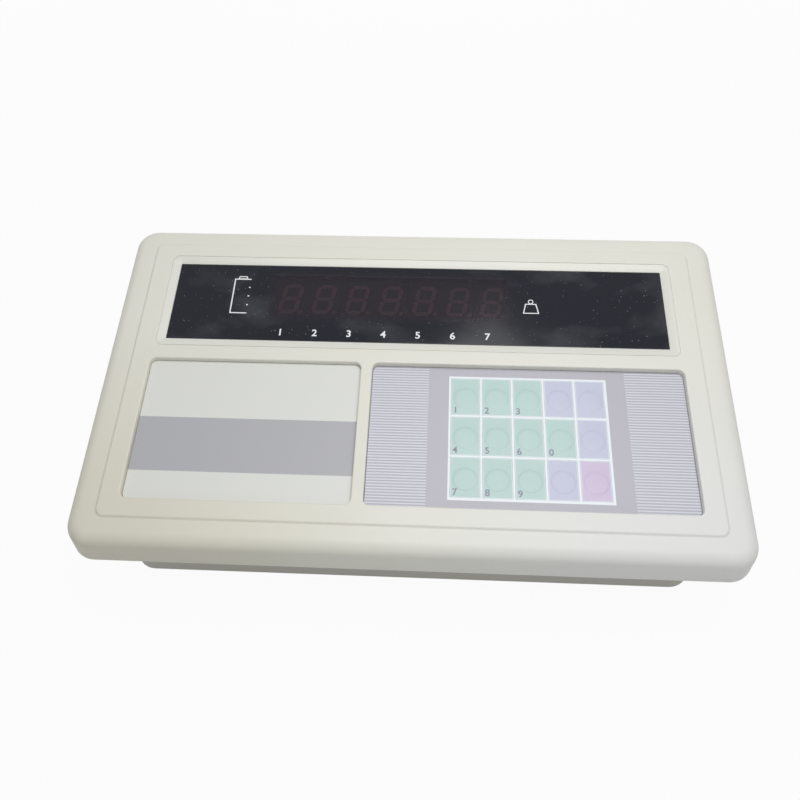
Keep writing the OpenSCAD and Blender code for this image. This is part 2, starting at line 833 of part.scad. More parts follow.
module display_ribbon() color("#9A9CA0") {
    top = face_z(ribbon_y, ribbon_n - header_h) - header_d * tilt_sin;
    translate([ribbon_u - tail_w / 2, ribbon_y - tail_t / 2, board_top + header_h])
        cube([tail_w, tail_t, top - board_top - header_h]);
}

module board_standoffs() color(steel_col) at_board_screws(floor_z) difference() {
    cylinder(r = standoff_r, h = standoff_h, $fn = hex_fn);
    translate([0, 0, over]) cylinder(r = screw_hole_r, h = standoff_h);
}

// Transformer

module transformer_core() color("#5B5E63") translate([core_x, core_y, core_z]) difference() {
    box(core_w, core_d, core_h);
    for (x = [-1, 1]) translate([x * core_leg * 3 / 2, 0, core_leg])
        box(core_leg, core_d + 2 * over, core_h - 2 * core_leg);
}

module transformer_coil() color(copper_col)
    translate([core_x, core_y, core_z + core_leg + slip]) difference() {
        round_plate(4 * core_leg - 2 * slip, coil_d, core_leg / 2, core_h - 2 * core_leg - 2 * slip);
        translate([0, 0, -over])
            box(2 * core_leg + 2 * slip, core_d + 2 * slip, core_h);
    }

module transformer_bracket() color(steel_col) {
    half = core_w / 2 + slip;
    strap_d = core_d / 2;
    difference() {
        translate([core_x, core_y, core_z]) union() {
            box(2 * (half + bracket_ear), strap_d, bracket_t);
            box(2 * (half + bracket_t), strap_d, core_h + bracket_t);
        }
        translate([core_x, core_y, core_z - over]) box(2 * half, core_d, core_h + over);
        at_bracket_screws(core_z - over) cylinder(r = screw_hole_r, h = bracket_t + 2 * over);
    }
}

// Battery

module battery() color("#3A3B40") translate([battery_x, battery_y, floor_z + plinth_h]) {
    box(battery_w, battery_d, battery_h);
    for (y = [-1, 1]) translate([battery_w / 3, y * battery_d / 3, battery_h])
        box(tab_l, tab_t, tab_l / 2);
}

module battery_strap() color(steel_col) {
    half = battery_w / 2 + battery_clear;
    difference() {
        translate([battery_x, battery_y, floor_z + plinth_h]) union() {
            box(2 * (half + strap_ear), strap_w, strap_t);
            box(2 * (half + strap_t), strap_w, battery_h + strap_t);
        }
        translate([battery_x, battery_y, floor_z + plinth_h - over])
            box(2 * half, strap_w + 2 * over, battery_h + over);
        at_strap_screws(floor_z + plinth_h - over)
            cylinder(r = screw_hole_r, h = strap_t + 2 * over);
    }
}

// Mains inlet, switch and fuse

module inlet_profile(w, h, c) polygon([
    [-w / 2, -h / 2], [w / 2, -h / 2], [w / 2, h / 2 - c], [w / 2 - c, h / 2],
    [-w / 2 + c, h / 2], [-w / 2, h / 2 - c]]);

module at_blades(out) {
    for (x = [-1, 1]) on_panel(inlet_x + x * blade_pitch / 2, blade_live_z, out) children();
    on_panel(inlet_x, blade_earth_z, out) children();
}

blade_floor = inlet_flange_t - inlet_cavity_l;
inlet_rear = -panel_t - inlet_body_l;

module mains_inlet() color(black_col) difference() {
    union() {
        on_panel(inlet_x, 0, 0) round_plate(inlet_flange[0], inlet_flange[1], plate_r, inlet_flange_t);
        on_panel(inlet_x, 0, inlet_rear) box(inlet_body[0], inlet_body[1], inlet_body_l + panel_t);
    }
    on_panel(inlet_x, 0, blade_floor) linear_extrude(inlet_cavity_l + over)
        inlet_profile(inlet_cavity[0], inlet_cavity[1], inlet_chamfer);
    at_inlet_screws(-over) cylinder(r = screw_hole_r, h = inlet_flange_t + 2 * over);
    at_blades(inlet_rear - over) box(blade_t, blade_h, inlet_body_l);
}

module inlet_blades() color(steel_col) at_blades(inlet_rear) {
    box(blade_t, blade_h, blade_floor - inlet_rear + blade_l);
    translate([0, 0, -tab_l]) box(tab_t, blade_h, tab_l + over);
}

pivot_out = switch_bezel_t - pivot_in;

module switch_housing() color(black_col) difference() {
    union() {
        on_panel(switch_x, 0, 0)
            round_plate(switch_bezel[0], switch_bezel[1], over, switch_bezel_t);
        on_panel(switch_x, 0, -panel_t - switch_body_l)
            box(switch_body[0], switch_body[1], switch_body_l + panel_t);
        for (z = [-1, 1]) on_panel(switch_x, z * rocker_belly, -panel_t - switch_body_l - tab_l)
            box(blade_h, tab_t, tab_l + over);
    }
    on_panel(switch_x, 0, pivot_out - pocket_deep)
        box(rocker_w + 2 * slip, 2 * pocket_half, pocket_deep + switch_bezel_t);
    on_panel(switch_x, 0, pivot_out) rotate([0, 90, 0])
        translate([0, 0, -rocker_w / 2 - pin_l - pin_gap])
            cylinder(r = pin_r + pin_gap, h = rocker_w + 2 * (pin_l + pin_gap));
}

module rocker_profile() polygon([
    [-rocker_half, -rocker_edge], [-rocker_half, rocker_edge], [0, rocker_valley],
    [rocker_half, rocker_edge], [rocker_half, -rocker_edge],
    [rocker_belly_half, -rocker_belly], [-rocker_belly_half, -rocker_belly]]);

module power_rocker() color(red_col) translate([switch_x, panel_face + pivot_out, panel_z])
    rotate([rocker_tilt, 0, 0]) {
        rotate([90, 0, 90]) translate([0, 0, -rocker_w / 2]) linear_extrude(rocker_w)
            rotate(-90) rocker_profile();
        rotate([0, 90, 0]) translate([0, 0, -rocker_w / 2 - pin_l])
            cylinder(r = pin_r, h = rocker_w + 2 * pin_l);
    }

module fuse_holder() color(black_col) difference() {
    union() {
        on_panel(fuse_x, 0, 0) cylinder(r = fuse_flange_r, h = fuse_flange_t);
        on_panel(fuse_x, 0, -panel_t - fuse_body_l)
            cylinder(r = fuse_body_r, h = fuse_body_l + panel_t + over);
        on_panel(fuse_x, 0, -panel_t - fuse_body_l - tab_l) box(tab_t, blade_h, tab_l + over);
    }
    on_panel(fuse_x, 0, fuse_flange_t - fuse_stem_l - fuse_l - over)
        cylinder(r = fuse_bore_r, h = fuse_stem_l + fuse_l + 2 * over);
}

module fuse_cap() color(black_col) on_panel(fuse_x, 0, fuse_flange_t + slip) {
    difference() {
        cylinder(r = fuse_knob_r, h = fuse_knob_h);
        translate([0, 0, fuse_knob_h - fuse_slot_d])
            box(2 * fuse_knob_r + 2 * over, fuse_slot_w, fuse_slot_d + over);
    }
    translate([0, 0, -fuse_stem_l]) cylinder(r = fuse_stem_r, h = fuse_stem_l + over);
}

module glass_fuse() color("#CDE3DF") on_panel(fuse_x, 0, fuse_flange_t + slip - fuse_stem_l - fuse_l)
    cylinder(r = fuse_r, h = fuse_l);

// Load cell socket, data sockets and small pieces of the rear panel

module load_cell_socket() color(steel_col) difference() {
    union() {
        on_panel(socket_x, 0, 0) cylinder(r = socket_flange_r, h = socket_flange_t);
        on_panel(socket_x, 0, -panel_t - socket_body_l)
            cylinder(r = socket_r, h = socket_body_l + panel_t + socket_flange_t + socket_l);
    }
    on_panel(socket_x, 0, socket_flange_t + socket_l - socket_face_sink)
        cylinder(r = socket_core_r, h = socket_face_sink + over);
}

module panel_nuts() color(steel_col) {
    on_panel(socket_x, 0, -panel_t - nut_t) difference() {
        cylinder(r = socket_r + nut_rim, h = nut_t, $fn = hex_fn);
        translate([0, 0, -over]) cylinder(r = socket_r + hair, h = nut_t + 2 * over);
    }
    on_panel(fuse_x, 0, -panel_t - nut_t) ring(fuse_body_r + nut_rim, fuse_body_r + hair, nut_t);
}

module data_sockets() color("#B9BCC0") difference() {
    union() {
        at_d_sockets(-panel_t) linear_extrude(panel_t + d_shell_out) d_profile($half);
        at_d_sockets(-panel_t - d_flange_t)
            round_plate($spacing + 2 * d_flange_end, d_flange_h, plate_r, d_flange_t);
        at_d_sockets(-panel_t - d_body_l)
            box(2 * $half, d_flange_h - 2 * over, d_body_l - d_flange_t + hair);
    }
    at_jack_screws(-panel_t - d_flange_t - over)
        cylinder(r = screw_hole_r, h = d_flange_t + 2 * over);
}

module jack_screws() color(steel_col) at_jack_screws(0) difference() {
    union() {
        cylinder(r = jack_r, h = jack_l, $fn = hex_fn);
        translate([0, 0, -panel_t - d_flange_t]) cylinder(r = screw_r, h = panel_t + d_flange_t + over);
    }
    translate([0, 0, over]) cylinder(r = jack_hole_r, h = jack_l);
}

module calibration_cover() color(shell_col) difference() {
    on_panel(cover_x, cover_z, 0) round_plate(cover[0], cover[1], plate_r, cover_t);
    at_cover_screws(-over) cylinder(r = screw_hole_r, h = cover_t + 2 * over);
}

// Straight round lead between two points
module lead(from, to) {
    run = to - from;
    l = norm(run);
    translate(from) rotate([0, acos(run[2] / l), atan2(run[1], run[0])])
        cylinder(r = lead_r, h = l, $fn = lead_fn);
}

// Leads from the inlet to the switch, on to the fuse, and from both poles to the coil
module mains_leads() color("#7A4A2A") {
    behind = panel_face - panel_t - tab_l - lead_r - hair;
    inlet_y = behind - inlet_body_l;
    switch_y = behind - switch_body_l;
    fuse_y = behind - fuse_body_l - lead_r / 2;
    coil_y = core_y + coil_d / 2 + lead_r + hair;
    live_z = panel_z + blade_live_z;
    lead([inlet_x + blade_pitch / 2, inlet_y, live_z],
        [switch_x, switch_y, panel_z - rocker_belly]);
    lead([switch_x, switch_y, panel_z + rocker_belly], [fuse_x, fuse_y, panel_z + lead_r]);
    lead([fuse_x, fuse_y, panel_z - 2 * lead_r],
        [core_x + 2 * core_leg + lead_r, coil_y - 4 * lead_r, core_z + core_h / 2]);
    lead([inlet_x - blade_pitch / 2, inlet_y, live_z],
        [core_x - core_leg, coil_y, core_z + core_h / 2]);
}

// Fasteners and feet

module case_screws() color(steel_col) at_case_screws(flange_top_n - flange_t)
    mirror([0, 0, 1]) screw(case_screw_l + flange_t - over);

module small_screws() color(steel_col) {
    at_board_screws(board_top) screw(chassis_screw_l);
    at_strap_screws(floor_z + plinth_h + strap_t) screw(chassis_screw_l - over);
    at_bracket_screws(core_z + bracket_t) screw(chassis_screw_l - over);
    at_display_screws(digit_under_n - board_t) mirror([0, 0, 1]) screw(chassis_screw_l);
    at_panel_screws(0) screw(panel_screw_l);
    at_inlet_screws(inlet_flange_t) screw(panel_screw_l);
    at_cover_screws(cover_t) screw(panel_screw_l);
}

module feet() color(black_col) at_feet(0) difference() {
    cylinder(r1 = foot_r - over, r2 = foot_r, h = foot_h);
    translate([0, 0, -over]) cylinder(r = head_r + over, h = foot_h / 2 + over);
    cylinder(r = screw_hole_r, h = foot_h + over);
}

module foot_screws() color(steel_col) at_feet(foot_h / 2) mirror([0, 0, 1])
    screw(foot_h / 2 + wall + plinth_h - over);

upper_shell();
lower_shell();
rear_panel();
display_window();
display_board();
digit_modules();
status_lamps();
blanking_panel();
keypad_overlay();
keypad_spacer();
keypad_circuit();
snap_domes();
keypad_tail();
keypad_key("key_0");  // key_0
keypad_key("key_1");  // key_1
keypad_key("key_2");  // key_2
keypad_key("key_3");  // key_3
keypad_key("key_4");  // key_4
keypad_key("key_5");  // key_5
keypad_key("key_6");  // key_6
keypad_key("key_7");  // key_7
keypad_key("key_8");  // key_8
keypad_key("key_9");  // key_9
keypad_key("key_tare");  // key_tare
keypad_key("key_input");  // key_input
keypad_key("key_weigh");  // key_weigh
keypad_key("key_print");  // key_print
keypad_key("key_zero");  // key_zero
main_board();
board_chips();
shield_can();
filter_capacitors();
buzzer();
heat_sink();
regulator_chip();
ribbon_headers();
display_ribbon();
board_standoffs();
transformer_core();
transformer_coil();
transformer_bracket();
battery();
battery_strap();
mains_inlet();
inlet_blades();
switch_housing();
power_rocker();
fuse_holder();
fuse_cap();
glass_fuse();
load_cell_socket();
panel_nuts();
data_sockets();
jack_screws();
calibration_cover();
mains_leads();
case_screws();
small_screws();
feet();
foot_screws();
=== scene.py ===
"""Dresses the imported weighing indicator: its sloped case, window, keypad and rear panel.

Lengths are in millimetres and angles in radians, except where a docstring says otherwise.
"""

import json
import logging
import math
from collections.abc import Callable, Iterable, Sequence
from dataclasses import dataclass, field
from enum import Enum

import bmesh
import bpy
from mathutils import Matrix, Vector
from mathutils.geometry import tessellate_polygon


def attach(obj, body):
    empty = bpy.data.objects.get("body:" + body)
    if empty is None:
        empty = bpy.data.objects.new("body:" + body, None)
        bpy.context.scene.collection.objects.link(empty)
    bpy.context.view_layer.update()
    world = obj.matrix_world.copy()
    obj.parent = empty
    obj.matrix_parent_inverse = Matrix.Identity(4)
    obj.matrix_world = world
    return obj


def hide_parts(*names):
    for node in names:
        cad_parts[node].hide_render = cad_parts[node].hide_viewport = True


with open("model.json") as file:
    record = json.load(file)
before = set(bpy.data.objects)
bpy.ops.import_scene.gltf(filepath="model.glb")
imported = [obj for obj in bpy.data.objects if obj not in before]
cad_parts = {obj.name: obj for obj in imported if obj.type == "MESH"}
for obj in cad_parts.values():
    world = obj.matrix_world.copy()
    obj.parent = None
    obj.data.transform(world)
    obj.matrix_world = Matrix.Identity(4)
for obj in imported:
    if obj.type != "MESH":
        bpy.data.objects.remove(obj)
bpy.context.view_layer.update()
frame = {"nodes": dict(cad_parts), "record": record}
LOG = logging.getLogger("indicator")
MM = 0.001
INK = 0.02
SHARP_DEGREES = 32.0
CAPITAL_SHARE = 0.7
Triple = tuple[float, float, float]
Rgb = Triple
Plan = list[tuple[float, float]]
Profile = Sequence[tuple[float, float]]
PANEL_TURN = Matrix(((-1, 0, 0, 0), (0, 0, 1, 0), (0, 1, 0, 0), (0, 0, 0, 1)))


def linear(red: float, green: float, blue: float) -> Rgb:
    """Turns a display colour into scene light.

    Args:
        red: Red, 0 to 255.
        green: Green, 0 to 255.
        blue: Blue, 0 to 255.

    Returns:
        The colour as linear values.
    """
    parts = [c / 255 for c in (red, green, blue)]
    return tuple(c / 12.92 if c <= 0.04045 else ((c + 0.055) / 1.055) ** 2.4 for c in parts)


def shade(colour: Rgb, factor: float) -> tuple[float, float, float, float]:
    """Returns a colour made lighter or darker by a factor, with its alpha."""
    return (*(min(1.0, c * factor) for c in colour), 1.0)


# ---------------------------------------------------------------- sizes


@dataclass(frozen=True)
class CaseSizes:
    """Sizes of the case in millimetres, and the ways to a place on it."""

    width: float = 342.0
    depth: float = 194.0
    front_height: float = 64.0
    tilt: float = math.radians(15.0)
    wall_height: float = 17.5
    wall: float = 3.0
    corner: float = 13.0
    edge: float = 7.3
    plateau_width: float = 310.6
    plateau_length: float = 171.54
    plateau_mid: float = 99.17
    plateau_rise: float = 1.0
    plateau_corner: float = 4.0
    rim_front: float = 13.4
    window_width: float = 279.2
    window_length: float = 52.2
    window_mid: float = 145.44
    window_top: float = -0.5
    window_under: float = -3.0
    window_bevel: float = 5.0
    window_ledge: float = 5.0
    recess_mid: float = 64.4
    recess_length: float = 82.6
    recess_corner: float = 3.5
    sheet_gap: float = 0.2
    blank_mid: float = -86.9
    blank_width: float = 116.8
    blank_top: float = -2.0
    blank_under: float = -3.5
    keypad_mid: float = 61.55
    keypad_width: float = 167.5
    keypad_top: float = -2.5
    keypad_under: float = -3.6
    keypad_floor: float = -4.9
    panel_face: float = 82.5
    panel_mid: float = 50.0
    panel_width: float = 281.0

    @property
    def lid_drop(self) -> float:
        """Depth of the lid's bottom edge below the face, square to it."""
        return self.wall_height * math.cos(self.tilt)

    def face_z(self, y: float, n: float = 0.0) -> float:
        """Returns the height of a plane n above the face at a depth y."""
        run = (y + self.depth / 2) * math.tan(self.tilt)
        return self.front_height + run + n / math.cos(self.tilt)

    def on_face(self, u: float, s: float, n: float) -> Vector:
        """Finds a point of the face.

        Args:
            u: Place across, from the middle.
            s: Place up the slope, from its front edge.
            n: Height above the face.

        Returns:
            The point in metres, in the row frame.
        """
        c, k = math.cos(self.tilt), math.sin(self.tilt)
        return Vector((u, s * c - n * k - self.depth / 2, self.front_height + s * k + n * c)) * MM

    def on_panel(self, x: float, z: float, out: float) -> Vector:
        """Returns a point out from the rear panel, z above its middle, in metres."""
        return Vector((x, self.panel_face + out, self.panel_mid + z)) * MM

    def face_matrix(self, u: float, s: float, n: float) -> Matrix:
        """Returns the placing of a flat piece on the face: X across, Y up the slope."""
        return Matrix.Translation(self.on_face(u, s, n)) @ Matrix.Rotation(self.tilt, 4, "X")

    def panel_matrix(self, x: float, z: float, out: float) -> Matrix:
        """Returns the placing of a piece on the rear panel, read from behind it."""
        return Matrix.Translation(self.on_panel(x, z, out)) @ PANEL_TURN


SIZES = CaseSizes()

# ---------------------------------------------------------------- shaders


class Field:
    """A number that varies over a surface, with the sums that patterns need."""

    def __init__(self, paint: "Paint", socket: bpy.types.NodeSocket) -> None:
        """Keeps the socket and the paint that it belongs to."""
        self.paint = paint
        self.socket = socket

    def _sum(self, operation: str, *values: "Field | float") -> "Field":
        """Returns the result of one Math node."""
        made = self.paint.node("ShaderNodeMath", {"operation": operation}, dict(enumerate(values)))
        return Field(self.paint, made.outputs[0])

    def __add__(self, other: "Field | float") -> "Field":
        """Adds."""
        return self._sum("ADD", self, other)

    __radd__ = __add__

    def __sub__(self, other: "Field | float") -> "Field":
        """Takes other away."""
        return self._sum("SUBTRACT", self, other)

    def __rsub__(self, other: "Field | float") -> "Field":
        """Is taken away from other."""
        return self._sum("SUBTRACT", other, self)

    def __mul__(self, other: "Field | float") -> "Field":
        """Multiplies."""
        return self._sum("MULTIPLY", self, other)

    __rmul__ = __mul__

    def __truediv__(self, other: "Field | float") -> "Field":
        """Divides."""
        return self._sum("DIVIDE", self, other)

    def above(self, edge: float) -> "Field":
        """Returns 1 where the value is above an edge."""
        return self._sum("GREATER_THAN", self, edge)

    def within(self, low: float, high: float) -> "Field":
        """Returns 1 between two edges."""
        return self.above(low) * (1.0 - self.above(high))

    def limited(self) -> "Field":
        """Keeps the value between 0 and 1."""
        return self._sum("MINIMUM", self._sum("MAXIMUM", self, 0.0), 1.0)

    def plateau(self, low: float, high: float, soft: float) -> "Field":
        """Returns 1 between two edges, with a soft fall of a length inside each."""
        return ((self - low) / soft).limited() * ((high - self) / soft).limited()

    def cycle(self, length: float) -> "Field":
        """Returns a ramp from 0 to 1 that starts again after each length."""
        return (self / length)._sum("FRACT", self / length)

    def wave(self, length: float) -> "Field":
        """Returns a wave between 0 and 1 with a length."""
        return self._sum("SINE", self * (math.tau / length)) * 0.5 + 0.5


class Nodes:
    """A tree that takes nodes, each with its settings and values."""

    def __init__(self, tree: bpy.types.NodeTree) -> None:
        """Keeps the tree."""
        self.tree = tree

    def feed(self, socket: bpy.types.NodeSocket, value: object) -> None:
        """Gives an input a value, or joins it to a socket or a field."""
        source = value.socket if isinstance(value, Field) else value
        if isinstance(source, bpy.types.NodeSocket):
            self.tree.links.new(source, socket)
        else:
            socket.default_value = source

    def node(self, kind: str, settings: dict | None = None,
             values: dict | None = None) -> bpy.types.Node:
        """Makes a node.

        Args:
            kind: Type of the node.
            settings: Properties, set before the sockets.
            values: Values, sockets or fields for the inputs, by name or number.

        Returns:
            The node.
        """
        made = self.tree.nodes.new(kind)
        for key, value in (settings or {}).items():
            setattr(made, key, value)
        for key, value in (values or {}).items():
            self.feed(made.inputs[key], value)
        return made


class Paint(Nodes):
    """Builds one procedural material around a Principled shader."""

    def __init__(self, name: str) -> None:
        """Starts the material.

        Args:
            name: Name of the material.
        """
        self.material = bpy.data.materials.new(name)
        self.material.use_nodes = True
        super().__init__(self.material.node_tree)
        self.shader = self.tree.nodes["Principled BSDF"]
        coords = self.node("ShaderNodeTexCoord")
        scaled = self.node("ShaderNodeVectorMath", {"operation": "SCALE"},
                           {0: coords.outputs["Object"], "Scale": 1 / MM})
        self.place = scaled.outputs[0]
        split = self.node("ShaderNodeSeparateXYZ", {}, {0: self.place})
        self.x, self.y, self.z = (Field(self, o) for o in split.outputs)

    def noise(self, size: float, detail: float = 2.0, stretch: Triple = (1, 1, 1)) -> Field:
        """Makes a noise.

        Args:
            size: Size of its spots in millimetres.
            detail: Octaves of finer detail.
            stretch: How much longer the spots are along X, Y and Z.

        Returns:
            The noise as a field around 0.5.
        """
        scale = self.node("ShaderNodeVectorMath", {"operation": "DIVIDE"},
                          {0: self.place, 1: stretch})
        made = self.node("ShaderNodeTexNoise", {"noise_dimensions": "3D"},
                         {"Vector": scale.outputs[0], "Scale": 1 / size, "Detail": detail})
        return Field(self, made.outputs[0])

    def mix(self, factor: Field, low: object, high: object) -> bpy.types.NodeSocket:
        """Mixes two colours.

        Args:
            factor: 0 for the first colour and 1 for the second.
            low: First colour, with alpha, or a colour socket.
            high: Second colour, with alpha, or a colour socket.

        Returns:
            The colour socket.
        """
        made = self.node("ShaderNodeMix", {"data_type": "RGBA"}, {0: factor, 6: low, 7: high})
        return made.outputs[2]

    def slope(self) -> Field:
        """Returns the distance up the face from the raised face's front edge."""
        c, k = math.cos(SIZES.tilt), math.sin(SIZES.tilt)
        return ((self.y + SIZES.depth / 2) * c + (self.z - SIZES.front_height) * k
                - SIZES.rim_front)

    def finish(self, colour: object, rough: object, bump: Field | None = None,
               depth: float = 0.02, **others: object) -> bpy.types.Material:
        """Joins the values to the shader.

        Args:
            colour: Base colour, a value or a socket.
            rough: Roughness, a value or a field.
            bump: Height of the bump, 0 to 1.
            depth: Depth of the bump in millimetres.
            **others: Values or fields, with the sockets' names written with underscores.

        Returns:
            The material.
        """
        values: dict = {"Base Color": colour, "Roughness": rough}
        if bump is not None:
            made = self.node("ShaderNodeBump", {},
                             {"Height": bump, "Distance": depth * MM, "Strength": 1.0})
            values["Normal"] = made.outputs[0]
        values.update({key.replace("_", " "): value for key, value in others.items()})
        for key, value in values.items():
            self.feed(self.shader.inputs[key], value)
        return self.material


@dataclass(frozen=True)
class Moulded:
    """Moulded plastic or rubber with a fine grain and slightly uneven colour and gloss."""

    colour: Rgb
    rough: float = 0.5
    grain: float = 0.012
    grain_size: float = 0.5
    wander: float = 0.03
    coat: float = 0.0
    coat_rough: float = 0.2
    cloud_size: float = 38.0
    gloss_size: float = 5.0
    gloss_wander: float = 0.12

    def tone(self, paint: Paint) -> bpy.types.NodeSocket:
        """Returns the slightly uneven colour."""
        return paint.mix(paint.noise(self.cloud_size, 3.0), shade(self.colour, 1 - self.wander),
                         shade(self.colour, 1 + self.wander))

    def build(self, name: str) -> bpy.types.Material:
        """Returns the material."""
        paint = Paint(name)
        rough = self.rough + (paint.noise(self.gloss_size) - 0.5) * self.gloss_wander
        return paint.finish(self.tone(paint), rough, paint.noise(self.grain_size, 3.0),
                            self.grain, Coat_Weight=self.coat, Coat_Roughness=self.coat_rough)


@dataclass(frozen=True)
class YellowedShellWithPaintedLight(Moulded):
    """Light plastic, yellowed and with painted shade at its front left and painted light at its
    front right.
    """

    # Darker, yellower colour at the front left: yellowed plastic plus painted shade.
    yellowed_and_shaded: Rgb = linear(210, 207, 191)
    # Whiter colour at the front right: painted light.
    painted_light: Rgb = linear(221, 221, 219)
    middle: float = 0.0
    run: float = 130.0
    fade_length: float = 120.0
    # Where the painted light at the right starts across the lid.
    painted_light_start: float = -20.0
    blotch_size: float = 30.0
    blotch: float = 0.3

    def tone(self, paint: Paint) -> bpy.types.NodeSocket:
        """Returns the colour with its yellowing and painted shade at the front left and painted
        light at the front right.
        """
        blotch = (paint.noise(self.blotch_size, 3.0) - 0.5) * self.blotch
        front = ((self.fade_length - paint.slope()) / self.fade_length).limited()
        left = ((self.middle - paint.x) / self.run + blotch).limited()
        right = ((paint.x - self.painted_light_start) / self.run).limited()
        # Painted light: the front right is mixed towards the whiter colour.
        even = paint.mix(right * front, super().tone(paint), shade(self.painted_light, 1.0))
        # Yellowed plastic plus painted shade: the front left is mixed towards the darker, yellower
        # colour.
        return paint.mix(left * front, even, shade(self.yellowed_and_shaded, 1.0))


class Lay(Enum):
    """Direction of the fine marks on a metal, as the stretch of its noise."""

    ACROSS = (40.0, 1.0, 1.0)
    UPRIGHT = (1.0, 1.0, 40.0)
    TURNED = (1.0, 6.0, 1.0)
    CAST = (1.0, 1.0, 1.0)


@dataclass(frozen=True)
class Metal:
    """Bare or plated metal with the fine marks of its making."""

    colour: Rgb
    rough: float = 0.3
    lay: Lay = Lay.ACROSS
    marks: float = 0.35
    depth: float = 0.006
    metallic: float = 1.0
    smudge_size: float = 14.0
    darkest: float = 0.86
    lightest: float = 1.06
    marks_gloss: float = 0.25
    smudge_gloss: float = 0.18

    def build(self, name: str) -> bpy.types.Material:
        """Returns the material."""
        paint = Paint(name)
        lines = paint.noise(self.marks, 4.0, self.lay.value)
        dull = paint.noise(self.smudge_size, 4.0)
        colour = paint.mix(dull, shade(self.colour, self.darkest),
                           shade(self.colour, self.lightest))
        rough = (self.rough + (lines - 0.5) * self.marks_gloss
                 + (dull - 0.5) * self.smudge_gloss)
        return paint.finish(colour, rough, lines, self.depth, Metallic=self.metallic)


@dataclass(frozen=True)
class Banded:
    """Sheet or winding with even bands across one axis, such as laminations or tape."""

    low: Rgb
    high: Rgb
    pitch: float
    upright: bool = False
    rough: float = 0.5
    depth: float = 0.1
    metallic: float = 0.0
    mottle: float = 0.2
    gloss_wander: float = 0.1

    def build(self, name: str) -> bpy.types.Material:
        """Returns the material."""
        paint = Paint(name)
        wave = (paint.z if self.upright else paint.y).wave(self.pitch)
        mixed = wave * (1 - self.mottle) + paint.noise(3.0) * self.mottle
        colour = paint.mix(mixed, shade(self.low, 1.0), shade(self.high, 1.0))
        rough = self.rough + paint.noise(6.0) * self.gloss_wander
        return paint.finish(colour, rough, wave, self.depth, Metallic=self.metallic)


@dataclass(frozen=True)
class CircuitBoard:
    """Solder mask over fine copper tracks."""

    colour: Rgb = linear(30, 104, 66)
    track_pitch: float = 2.4
    track_share: float = 0.62
    track_bend: float = 9.0
    block_size: float = 16.0
    between: float = 0.9
    over: float = 1.5
    rough: float = 0.34
    gloss_wander: float = 0.1
    depth: float = 0.03

    def build(self, name: str) -> bpy.types.Material:
        """Returns the material."""
        paint = Paint(name)
        bent = paint.y + paint.noise(20.0) * self.track_bend
        tracks = bent.cycle(self.track_pitch).above(self.track_share)
        blocks = paint.noise(self.block_size, 1.0).above(0.5)
        mask = tracks * blocks
        colour = paint.mix(mask, shade(self.colour, self.between), shade(self.colour, self.over))
        rough = self.rough + paint.noise(4.0) * self.gloss_wander
        return paint.finish(colour, rough, mask, self.depth)


class Sheet:
    """A matt sheet on the face; each kind of sheet draws its own print."""

    rough: float
    grain_size: float = 0.45
    grain: float = 0.01
    gloss_wander: float = 0.1

    def print_on(self, paint: Paint) -> bpy.types.NodeSocket:
        """Returns the colours of the sheet's print."""
        raise NotImplementedError

    def build(self, name: str) -> bpy.types.Material:
        """Returns the material."""
        paint = Paint(name)
        rough = self.rough + (paint.noise(3.0) - 0.5) * self.gloss_wander
        return paint.finish(self.print_on(paint), rough, paint.noise(self.grain_size, 3.0),
                            self.grain)


@dataclass(frozen=True)
class PrintedBand(Sheet):
    """Printed sheet with one plain band across it."""

    ground: Rgb
    band: Rgb
    low: float
    high: float
    rough: float = 0.42
    cloud_size: float = 45.0
    cloud: float = 0.25
    wander: float = 0.03

    def print_on(self, paint: Paint) -> bpy.types.NodeSocket:
        """Returns the colours of the sheet's print."""
        cloud = (paint.noise(self.cloud_size, 2.0) - 0.5) * self.cloud
        ground = paint.mix(0.5 + cloud, shade(self.ground, 1 - self.wander),
                           shade(self.ground, 1 + self.wander))
        band = paint.slope().within(self.low, self.high)
        return paint.mix(band, ground, shade(self.band, 1.0))


@dataclass(frozen=True)
class PrintedKeypad(Sheet):
    """Keypad sheet: fine stripes at both sides, a plain middle and a white field of keys."""

    ground: Rgb = linear(179, 177, 186)
    light: Rgb = linear(208, 208, 216)
    dark: Rgb = linear(172, 172, 182)
    white: Rgb = linear(230, 236, 240)
    rough: float = 0.4
    pitch: float = 1.6
    plain: tuple[float, float] = (8.8, 113.6)
    keys: tuple[float, float, float, float] = (19.7, 103.6, 15.0, 86.7)

    def print_on(self, paint: Paint) -> bpy.types.NodeSocket:
        """Returns the colours of the sheet's print."""
        u, v = paint.x, paint.slope()
        stripe = v.cycle(self.pitch).above(0.5)
        striped = paint.mix(stripe, shade(self.dark, 1.0), shade(self.light, 1.0))
        ground = paint.mix(u.within(*self.plain), striped, shade(self.ground, 1.0))
        keys = u.within(*self.keys[:2]) * v.within(*self.keys[2:])
        return paint.mix(keys, ground, shade(self.white, 1.0))


